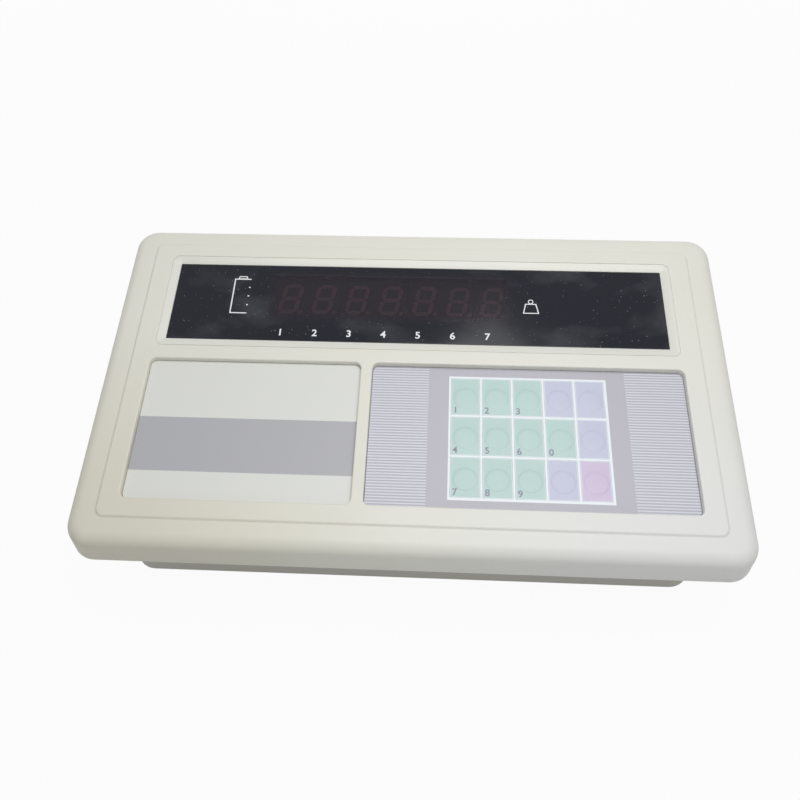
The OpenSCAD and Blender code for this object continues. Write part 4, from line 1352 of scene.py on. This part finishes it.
@dataclass
class Keypad:
    """The printed sheet with its fifteen keys, and the plain sheet beside it.

    A number stands number_left and number_down from its key's middle, as shares of the hole.
    """

    pitch_u: float = 16.51
    pitch_v: float = 23.4
    hole_width: float = 15.31
    hole_length: float = 22.2
    gap: float = 0.1
    border: float = 0.3
    dome_radius: float = 6.3
    dome_height: float = 0.38
    dome_down: float = 1.2
    dome_peak: float = 1.02
    dome_facets: int = 32
    dome_profile: Profile = ((0.35, 0.0), (0.15, 0.08), (-0.1, 0.3), (-0.5, 0.62), (-1.2, 0.82),
                             (-2.6, 0.93), (-4.2, 1.0))
    corner: float = 0.3
    key_thick: float = 0.65
    key_edge: float = 0.05
    key_degrees: float = 50.0
    number_height: float = 3.6
    number_left: float = 0.34
    number_down: float = 0.375
    number_weight: float = 0.08
    sheet_corner: float = 3.4
    sheet_edge: float = 0.15
    hole_edge: float = 0.03
    hole_drop: float = 0.05
    plain_edge: float = 0.25
    mid_column: int = 2
    mid_row: int = 1
    rows: tuple[tuple[str, ...], ...] = (
        ("key_1", "key_2", "key_3", "key_tare", "key_input"),
        ("key_4", "key_5", "key_6", "key_0", "key_weigh"),
        ("key_7", "key_8", "key_9", "key_print", "key_zero"))

    def place(self, column: int, row: int) -> tuple[float, float]:
        """Returns a key's place across and up the slope."""
        return (SIZES.keypad_mid + (column - self.mid_column) * self.pitch_u,
                SIZES.recess_mid + (self.mid_row - row) * self.pitch_v)

    def sheet(self) -> None:
        """Makes the keypad's sheet with a hole for each key."""
        c = SIZES
        skin = Skin()
        slack = 2 * c.sheet_gap
        width, length = c.keypad_width - slack, c.recess_length - slack
        outer = [skin.on_face(c.keypad_mid, c.recess_mid,
                              grown(width, length, self.sheet_corner, growth), n)
                 for growth, n in ((0, c.keypad_under), (0, c.keypad_top - self.sheet_edge),
                                   (-self.sheet_edge, c.keypad_top))]
        skin.loft(outer)
        edges = [(grown(self.hole_width, self.hole_length, self.corner, growth, 2), n)
                 for growth, n in ((self.hole_edge, c.keypad_top),
                                   (0, c.keypad_top - self.hole_drop), (0, c.keypad_under))]
        tops, bottoms = [], []
        for row, names in enumerate(self.rows):
            for column in range(len(names)):
                rings = [skin.on_face(*self.place(column, row), plan, n) for plan, n in edges]
                skin.loft(rings)
                tops.append(rings[0])
                bottoms.append(rings[-1])
        skin.panel(outer[-1], tops)
        skin.panel(outer[0], bottoms)
        piece("keypad_sheet", skin.mesh("keypad_sheet"), "case", "overlay_sheet",
              replaces=["keypad_overlay"])

    def cap(self, name: str) -> bpy.types.Mesh:
        """Makes a key: a white border, a coloured field and a low round dome.

        Args:
            name: Name of the mesh.

        Returns:
            The mesh, with its top on the XY plane.
        """
        skin = Skin()
        width = self.hole_width - 2 * self.gap
        length = self.hole_length - 2 * self.gap

        def rim(growth: float, z: float) -> list[bmesh.types.BMVert]:
            """Adds a ring of the key's outline."""
            return skin.level(grown(width, length, self.corner, growth, 2), z)

        sides = [rim(0, -self.key_thick), rim(0, -self.key_edge), rim(-self.key_edge, 0)]
        tint = rim(-self.border, 0)
        skin.loft([*sides, tint])
        skin.panel(sides[0])
        dome = []
        for growth, lift in self.dome_profile:
            plan = circle(self.dome_radius + growth, self.dome_facets)
            dome.append(skin.level(((x, y - self.dome_down) for x, y in plan),
                                   self.dome_height * lift))
        skin.panel(tint, [dome[0]], 1)
        skin.loft(dome, 1)
        peak = Vector((0, -self.dome_down, self.dome_height * self.dome_peak)) * MM
        skin.hub(dome[-1], peak, 1)
        return skin.mesh(name, self.key_degrees)

    def keys(self) -> None:
        """Makes the keys with their plain numbers."""
        c = SIZES
        white = PAINTS.get("key_white", KEY_WHITE)
        ink = PAINTS.get("key_ink", KEY_INK)
        for row, names in enumerate(self.rows):
            for column, name in enumerate(names):
                label = name.removeprefix("key_")
                tint = (KeyTint.GREEN if label.isdigit()
                        else KeyTint.PINK if label == "zero" else KeyTint.LAVENDER)
                u, s = self.place(column, row)
                body = f"{name}_cap"
                piece(f"{name}_face", self.cap(f"{name}_face"), body, tint.value,
                      [white, PAINTS.get(tint.value)], [name],
                      c.face_matrix(u, s, c.keypad_top))
                if label.isdigit():
                    text = lettering(label, self.number_height, f"{name}_number",
                                     self.number_weight)
                    piece(f"{name}_number", text, body, tint.value, [ink],
                          at=c.face_matrix(u - self.hole_width * self.number_left,
                                           s - self.hole_length * self.number_down,
                                           c.keypad_top + INK))

    def plain_sheet(self) -> None:
        """Makes the sheet in the left recess."""
        c = SIZES
        slack = 2 * c.sheet_gap
        mesh = plate(c.blank_width - slack, c.recess_length - slack, self.sheet_corner,
                     c.blank_top - c.blank_under, self.plain_edge, "plain_sheet")
        piece("plain_sheet", mesh, "case", "blanking_sheet", replaces=["blanking_panel"],
              at=c.face_matrix(c.blank_mid, c.recess_mid, c.blank_under))

    def build(self) -> None:
        """Makes the keypad's pieces."""
        self.sheet()
        self.keys()
        self.plain_sheet()


@dataclass(frozen=True)
class DataSocket:
    """A D-type socket: its place on the panel, half its width and its two rows of contacts."""

    share: float
    rise: float
    half: float
    rows: tuple[int, int]


@dataclass
class RearPanel:
    """The details of the sockets, the fuse cap and the switch on the rear panel."""

    switch_share: float = -0.219
    fuse_share: float = -0.119
    cell_share: float = -0.005
    sockets: tuple[DataSocket, ...] = (DataSocket(0.148, 14.0, 8.2, (5, 4)),
                                       DataSocket(0.326, 14.0, 12.35, (8, 7)),
                                       DataSocket(0.237, -14.0, 19.2, (13, 12)))
    d_height: float = 8.4
    d_slant: float = 1.5
    d_inset: float = 0.55
    d_corner: float = 1.1
    d_out: float = 6.0
    d_profile: Profile = ((0, -0.3), (0, 0.12), (-0.15, 0.22))
    contact_pitch: float = 2.77
    contact_up: float = 1.42
    contact_out: float = 0.25
    eye_profile: Profile = ((0.75, -0.1), (0.75, 0.1), (0.45, 0.1), (0.4, -0.05))
    ridge_profile: Profile = ((7.9, -0.42), (8.0, -0.3), (8.0, 0.3), (7.9, 0.42), (7.7, 0.3),
                              (7.7, -0.3))
    ridge_facets: int = 48
    ridges: int = 7
    thread_out: float = 2.5
    thread_pitch: float = 1.0
    insert_radius: float = 6.2
    insert_out: float = 9.7
    insert_profile: Profile = ((0, -0.4), (0, 0.2), (-0.2, 0.3))
    pins: int = 6
    pin_radius: float = 0.6
    pin_circle: float = 3.7
    pin_profile: Profile = ((0, -0.2), (0, 0.55), (-0.25, 0.75))
    fuse_ribs: int = 24
    rib_circle: float = 6.45
    rib_out: float = 3.0
    rib_width: float = 0.5
    rib_depth: float = 0.6
    rib_length: float = 5.2
    rib_edge: float = 0.15
    rocker_tilt: float = math.radians(9.0)
    rocker_fall: float = math.atan2(1.0, 8.0)
    pivot_out: float = 1.0
    mark_out: float = 1.58
    mark_up: float = 4.5
    mark_line: float = 0.35
    mark_ring: float = 1.105
    mark_bar: tuple[float, float] = (0.25, 1.3)

    def at(self, share: float, up: float, out: float) -> Matrix:
        """Returns the placing of a piece at a share of the panel's width."""
        return SIZES.panel_matrix(SIZES.panel_width * share, up, out)

    def d_face(self, half: float) -> bpy.types.Mesh:
        """Makes the black face of a D-type socket."""
        slant, bend = self.d_slant, self.d_corner

        def plan(growth: float) -> Plan:
            """Returns the outline grown by a length."""
            w = half - self.d_inset + growth
            k = self.d_height / 2 - self.d_inset + growth
            corners = [(w, k), (-w, k), (-w + slant, -k), (w - slant, -k)]
            out: Plan = []
            for i, (px, py) in enumerate(corners):
                for qx, qy in (corners[i - 1], corners[(i + 1) % 4]):
                    run = math.hypot(qx - px, qy - py)
                    out.append((px + (qx - px) / run * bend, py + (qy - py) / run * bend))
            return out

        return prism(plan(0), self.d_profile, "socket_face", plan)

    def contact(self) -> bpy.types.Mesh:
        """Makes one socket contact: a rimmed eye."""
        skin = Skin()
        skin.solid([skin.level(circle(r, 12), z) for r, z in self.eye_profile])
        return skin.mesh("contact")

    def data_faces(self) -> None:
        """Makes the faces and contacts of the D-type sockets."""
        faces, contacts = [], []
        row = Copies(Pattern.ROW)
        gold = PAINTS.get("contact_gold", CONTACT_GOLD)
        for socket in self.sockets:
            place = self.at(socket.share, socket.rise, self.d_out)
            faces.append((self.d_face(socket.half), place))
            for count, up in zip(socket.rows, (self.contact_up, -self.contact_up)):
                start = -(count - 1) / 2 * self.contact_pitch
                mesh = row.make("contacts", self.contact(), gold, Count=count,
                                Start=(start * MM, up * MM, self.contact_out * MM),
                                Step=(self.contact_pitch * MM, 0.0, 0.0))
                contacts.append((mesh, place))
        piece("data_socket_faces", joined(faces, "data_socket_faces"), "case",
              "black_plastic")
        piece("data_socket_contacts", joined(contacts, "data_socket_contacts"), "case",
              "tinned_shell", [gold])

    def load_cell_socket(self) -> None:
        """Makes the thread's ridges, the face and the pins of the round socket."""
        skin = Skin()
        turns = [math.tau * i / self.ridge_facets for i in range(self.ridge_facets)]
        rings = [skin.ring(Vector((r * math.cos(a), r * math.sin(a), z)) * MM
                           for r, z in self.ridge_profile) for a in turns]
        skin.loft([*rings, rings[0]])
        steel, gold = PAINTS.get("nickel_plate"), PAINTS.get("contact_gold")
        step = (0.0, 0.0, self.thread_pitch * MM)
        threads = Copies(Pattern.ROW).make("socket_thread", skin.mesh("ridge"), steel,
                                           Count=self.ridges, Start=step, Step=step)
        piece("socket_thread", threads, "case", "nickel_plate", [steel],
              at=self.at(self.cell_share, 0, self.thread_out))
        face = prism(circle(self.insert_radius, 40), self.insert_profile, "socket_insert")
        piece("socket_insert", face, "case", "black_plastic",
              at=self.at(self.cell_share, 0, self.insert_out))
        pin = prism(circle(self.pin_radius, 12), self.pin_profile, "pin")
        pins = Copies(Pattern.CIRCLE).make("socket_pins", pin, gold, Count=self.pins,
                                           Radius=self.pin_circle * MM)
        piece("socket_pins", pins, "case", "nickel_plate", [gold],
              at=self.at(self.cell_share, 0, self.insert_out + self.contact_out))

    def ribs(self) -> None:
        """Makes the ribs round the fuse cap."""
        black = PAINTS.get("black_plastic")
        rib = plate(self.rib_width, self.rib_depth, self.rib_edge, self.rib_length,
                    self.rib_edge, "rib")
        mesh = Copies(Pattern.CIRCLE).make("fuse_ribs", rib, black, Count=self.fuse_ribs,
                                           Radius=self.rib_circle * MM)
        piece("fuse_ribs", mesh, "fuse_carrier", "black_plastic", [black],
              at=self.at(self.fuse_share, 0, self.rib_out))

    def switch_marks(self) -> None:
        """Prints the plain line and ring on the rocker."""
        c = SIZES
        hinge = c.on_panel(c.panel_width * self.switch_share, 0, self.pivot_out)
        pivot = Matrix.Translation(hinge) @ Matrix.Rotation(self.rocker_tilt, 4, "X")
        w, h = self.mark_bar
        bar = [(-w, -h), (w, -h), (w, h), (-w, h)]
        ring = circle(self.mark_ring, 24)
        made = []
        for outline, side in ((bar, 1), (ring, -1)):
            place = (pivot
                     @ Matrix.Translation(Vector((0, self.mark_out, side * self.mark_up)) * MM)
                     @ Matrix.Rotation(-side * self.rocker_fall, 4, "X") @ PANEL_TURN)
            made.append((line_sign(outline, self.mark_line, "sign"), place))
        piece("switch_marks", joined(made, "switch_marks"), "rocker", "rocker_plastic",
              [PAINTS.get("mark_white")])

    def build(self) -> None:
        """Makes the rear panel's details."""
        self.data_faces()
        self.load_cell_socket()
        self.ribs()
        self.switch_marks()


@dataclass
class Screws:
    """Pan-head screws with a cross recess, set out on the places of the model's screws.

    The tolerances weld, same_height and same_width are in metres.
    """

    head: float = 2.75
    height: float = 1.8
    shank: float = 1.5
    slot: float = 0.42
    reach: float = 1.55
    sink: float = 0.9
    taper: float = 0.7
    facets: int = 24
    tip_inset: float = 0.3
    tip_length: float = 0.4
    crown: Profile = ((1.0, 0.45), (0.95, 0.72), (0.82, 0.92), (0.66, 1.0))
    weld: float = 1e-6
    same_height: float = 1e-5
    same_width: float = 2e-4
    slimmest: float = 0.8
    probes: int = 4

    def screw(self, length: float) -> bpy.types.Mesh:
        """Makes one screw.

        Args:
            length: Length of the shank in millimetres.

        Returns:
            The mesh, with the head's underside on the XY plane and the shank below it.
        """
        skin = Skin()
        r, h = self.head, self.height
        profile = [(self.shank - self.tip_inset, -length), (self.shank, -length + self.tip_length),
                   (self.shank, 0), (r, 0), *((r * wide, h * up) for wide, up in self.crown)]
        rings = [skin.level(circle(radius, self.facets), z) for radius, z in profile]
        skin.loft(rings)
        skin.panel(rings[0])
        a, b = self.slot, self.reach
        cross = [(b, -a), (b, a), (a, a), (a, b), (-a, b), (-a, a), (-b, a), (-b, -a), (-a, -a),
                 (-a, -b), (a, -b), (a, -a)]
        mouth = skin.level(cross, h)
        pit = skin.level(((x * self.taper, y * self.taper) for x, y in cross), h - self.sink)
        skin.panel(rings[-1], [mouth])
        skin.loft([mouth, pit])
        skin.panel(pit)
        return skin.mesh("screw")

    def islands(self, mesh: bpy.types.Mesh) -> list[list[Vector]]:
        """Returns the corners of each loose part of a mesh."""
        bm = bmesh.new()
        bm.from_mesh(mesh)
        bmesh.ops.remove_doubles(bm, verts=bm.verts, dist=self.weld)
        out, seen = [], set()
        for start in bm.verts:
            if start in seen:
                continue
            group, queue = [], [start]
            seen.add(start)
            while queue:
                here = queue.pop()
                group.append(here.co.copy())
                ends = [edge.other_vert(here) for edge in here.link_edges]
                fresh = [vert for vert in ends if vert not in seen]
                seen.update(fresh)
                queue += fresh
            out.append(group)
        bm.free()
        return out

    def places(self, node: str, axis: Vector) -> list[tuple[Vector, Vector, float]]:
        """Finds the model's screws of one node that point along an axis.

        Args:
            node: Name of the CAD node.
            axis: Way from a shank to its head.

        Returns:
            For each screw the underside of its head, its turn and its shank's length.
        """
        out = []
        angles = Vector(axis.to_track_quat("Z", "Y").to_euler())
        for group in self.islands(frame["nodes"][node].data):
            rise = [p.dot(axis) for p in group]
            top, low = max(rise), min(rise)
            crown = [p for p, q in zip(group, rise) if abs(q - top) < self.same_height]
            foot = [p for p, q in zip(group, rise) if abs(q - low) < self.same_height]
            wide, slim = (max((p - q).length for p in end for q in end[:self.probes])
                          for end in (crown, foot))
            if (abs(wide - 2 * self.head * MM) > self.same_width
                    or slim > wide * self.slimmest):
                continue
            centre = sum(crown, Vector()) / len(crown)
            out.append((centre - axis * self.height * MM, angles,
                        (top - low) / MM - self.height))
        return out

    def dress(self, node: str, axes: Sequence[Vector]) -> None:
        """Replaces the screws of a node.

        Args:
            node: Name of the CAD node.
            axes: Ways in which its heads point.
        """
        steel = PAINTS.get("screw_steel")
        copies = Copies(Pattern.POINTS)
        made = []
        for axis in axes:
            by_length: dict[float, list[tuple[Vector, Vector]]] = {}
            for spot, turn, length in self.places(node, axis):
                by_length.setdefault(round(length, 1), []).append((spot, turn))
            for length, points in by_length.items():
                mesh = copies.make(f"{node}_set", self.screw(length), steel, points)
                made.append((mesh, Matrix.Identity(4)))
                LOG.info("%s: %d screws, %.1f mm", node, len(points), length)
        piece(f"{node}_heads", joined(made, f"{node}_heads"), "case", "screw_steel", [steel],
              [node])

    def build(self) -> None:
        """Replaces all screws of the model."""
        tilt = SIZES.tilt
        up, back = Vector((0, 0, 1)), Vector((0, 1, 0))
        under = Vector((0, math.sin(tilt), -math.cos(tilt)))
        self.dress("small_screws", [up, back, under])
        self.dress("case_screws", [under])
        self.dress("foot_screws", [-up])


class Carried:
    """The model's own pieces that stay, each with the finish of its slot."""

    def build(self) -> None:
        """Gives every shown CAD node its material."""
        slots = {part["node"]: part["material_slot"] for part in frame["record"]["subparts"]}
        for name, node in frame["nodes"].items():
            if node.hide_render:
                continue
            paint = PAINTS.get(slots[name])
            if not node.material_slots:
                node.data.materials.append(paint)
            for slot in node.material_slots:
                slot.material = paint
            LOG.info("%s keeps its shape, with %s", name, slots[name])


# ---------------------------------------------------------------- studio


@dataclass
class Studio:
    """Pale floor, soft lamps, a white surround and the camera.

    The clip distances, the floor's size, the lamps' places and sizes, and the point that
    they aim at are in metres.
    """

    camera_at: Triple = (13.02, -310.04, 393.23)
    forward: Triple = (-0.04542541, 0.6895503, -0.72281182)
    right: Triple = (0.99862286, 0.05035569, -0.01472039)
    lens: float = 36.0
    sensor: float = 36.0
    clip: tuple[float, float] = (0.01, 50.0)
    floor_size: float = 6.0
    floor_drop: float = 0.15
    floor_colour: float = 0.55
    floor_glow: float = 0.95
    floor_rough: float = 0.7
    fade_reach: float = 1500.0
    ambient: float = 0.39
    white: tuple[float, ...] = (1, 1, 1, 1)
    sky: tuple[float, ...] = (0.98, 0.99, 1.0, 1)
    aim: Triple = (0.0, 0.0, 0.05)
    glint_power: float = 1.0
    lamps: tuple[tuple[str, Triple, float, float], ...] = (
        ("key_lamp", (0.08, -0.08, 0.7), 0.5, 2.6),
        ("fill_lamp", (0.2, -0.72, 0.25), 0.4, 0.55),
        ("rear_lamp", (0.0, 0.95, 0.32), 0.5, 0.95))

    def camera(self) -> None:
        """Sets the camera where the photograph was taken."""
        data = bpy.data.cameras.new("camera")
        data.lens, data.sensor_width = self.lens, self.sensor
        data.clip_start, data.clip_end = self.clip
        made = put("camera", data)
        back = -Vector(self.forward).normalized()
        side = Vector(self.right)
        side = (side - side.dot(back) * back).normalized()
        turn = Matrix((side, back.cross(side), back)).transposed().to_4x4()
        made.matrix_world = Matrix.Translation(Vector(self.camera_at) * MM) @ turn
        bpy.context.scene.camera = made

    def lamp(self, name: str, at: Vector, size: float, power: float) -> None:
        """Adds a square soft lamp that looks at the object.

        Args:
            name: Name of the lamp.
            at: Its place in metres.
            size: Length of its side in metres.
            power: Its power in watts.
        """
        data = bpy.data.lights.new(name, "AREA")
        data.size, data.energy = size, power
        made = put(name, data)
        made.location, made.visible_glossy = at, power > self.glint_power
        made.rotation_mode = "QUATERNION"
        made.rotation_quaternion = (at - Vector(self.aim)).to_track_quat("Z", "Y")

    def white_rays(self, nodes: Nodes) -> bpy.types.NodeSocket:
        """Returns 1 for the rays that see the surround as white."""
        rays = nodes.node("ShaderNodeLightPath")
        total = rays.outputs["Is Camera Ray"]
        for name in ("Is Glossy Ray", "Is Transmission Ray"):
            total = nodes.node("ShaderNodeMath", {"operation": "ADD", "use_clamp": True},
                               {0: total, 1: rays.outputs[name]}).outputs[0]
        return total

    def world(self) -> None:
        """Makes a white surround that lights the object softly."""
        world = bpy.data.worlds.new("surround")
        bpy.context.scene.world = world
        world.use_nodes = True
        nodes = Nodes(world.node_tree)
        shown = nodes.tree.nodes["Background"]
        nodes.feed(shown.inputs["Color"], self.white)
        light = nodes.node("ShaderNodeBackground", {},
                           {"Color": self.sky, "Strength": self.ambient})
        mix = nodes.node("ShaderNodeMixShader", {}, {0: self.white_rays(nodes), 1: light.outputs[0],
                                                     2: shown.outputs[0]})
        nodes.feed(nodes.tree.nodes["World Output"].inputs[0], mix.outputs[0])

    def floor(self) -> None:
        """Makes the pale floor."""
        half = self.floor_size / 2
        mesh = bpy.data.meshes.new("floor")
        low = -self.floor_drop * MM
        mesh.from_pydata([(-half, -half, low), (half, -half, low), (half, half, low),
                          (-half, half, low)], [], [(0, 1, 2, 3)])
        paint = Paint("floor_white")
        grey = self.floor_colour
        paint.finish((grey, grey, grey, 1), self.floor_rough + paint.noise(80.0) * 0.1)
        far = ((paint.x * paint.x + paint.y * paint.y) / self.fade_reach ** 2).limited()
        glow_share = far * (1.0 - self.floor_glow) + self.floor_glow
        share = Field(paint, self.white_rays(paint)) * glow_share
        glow = paint.node("ShaderNodeEmission", {}, {"Color": self.white, "Strength": 1.0})
        mixed = paint.node("ShaderNodeMixShader", {}, {0: share, 1: paint.shader.outputs[0],
                                                       2: glow.outputs[0]})
        paint.feed(paint.tree.nodes["Material Output"].inputs["Surface"], mixed.outputs[0])
        mesh.materials.append(paint.material)
        made = put("floor", mesh)

    def build(self) -> None:
        """Sets up the studio."""
        self.camera()
        self.world()
        self.floor()
        for name, at, size, power in self.lamps:
            self.lamp(name, Vector(at), size, power)
        bpy.context.scene.view_settings.view_transform = "Standard"


def main() -> None:
    """Builds the studio and the object, piece by piece."""
    logging.basicConfig(level=logging.INFO, format="%(name)s: %(message)s")
    builders: list[object] = [Studio(), Lid(), Display(), Keypad(), RearPanel(), Screws(),
                              Carried()]
    for builder in builders:
        builder.build()
        LOG.info("%s is done", type(builder).__name__)


if __name__ == "__main__":
    main()
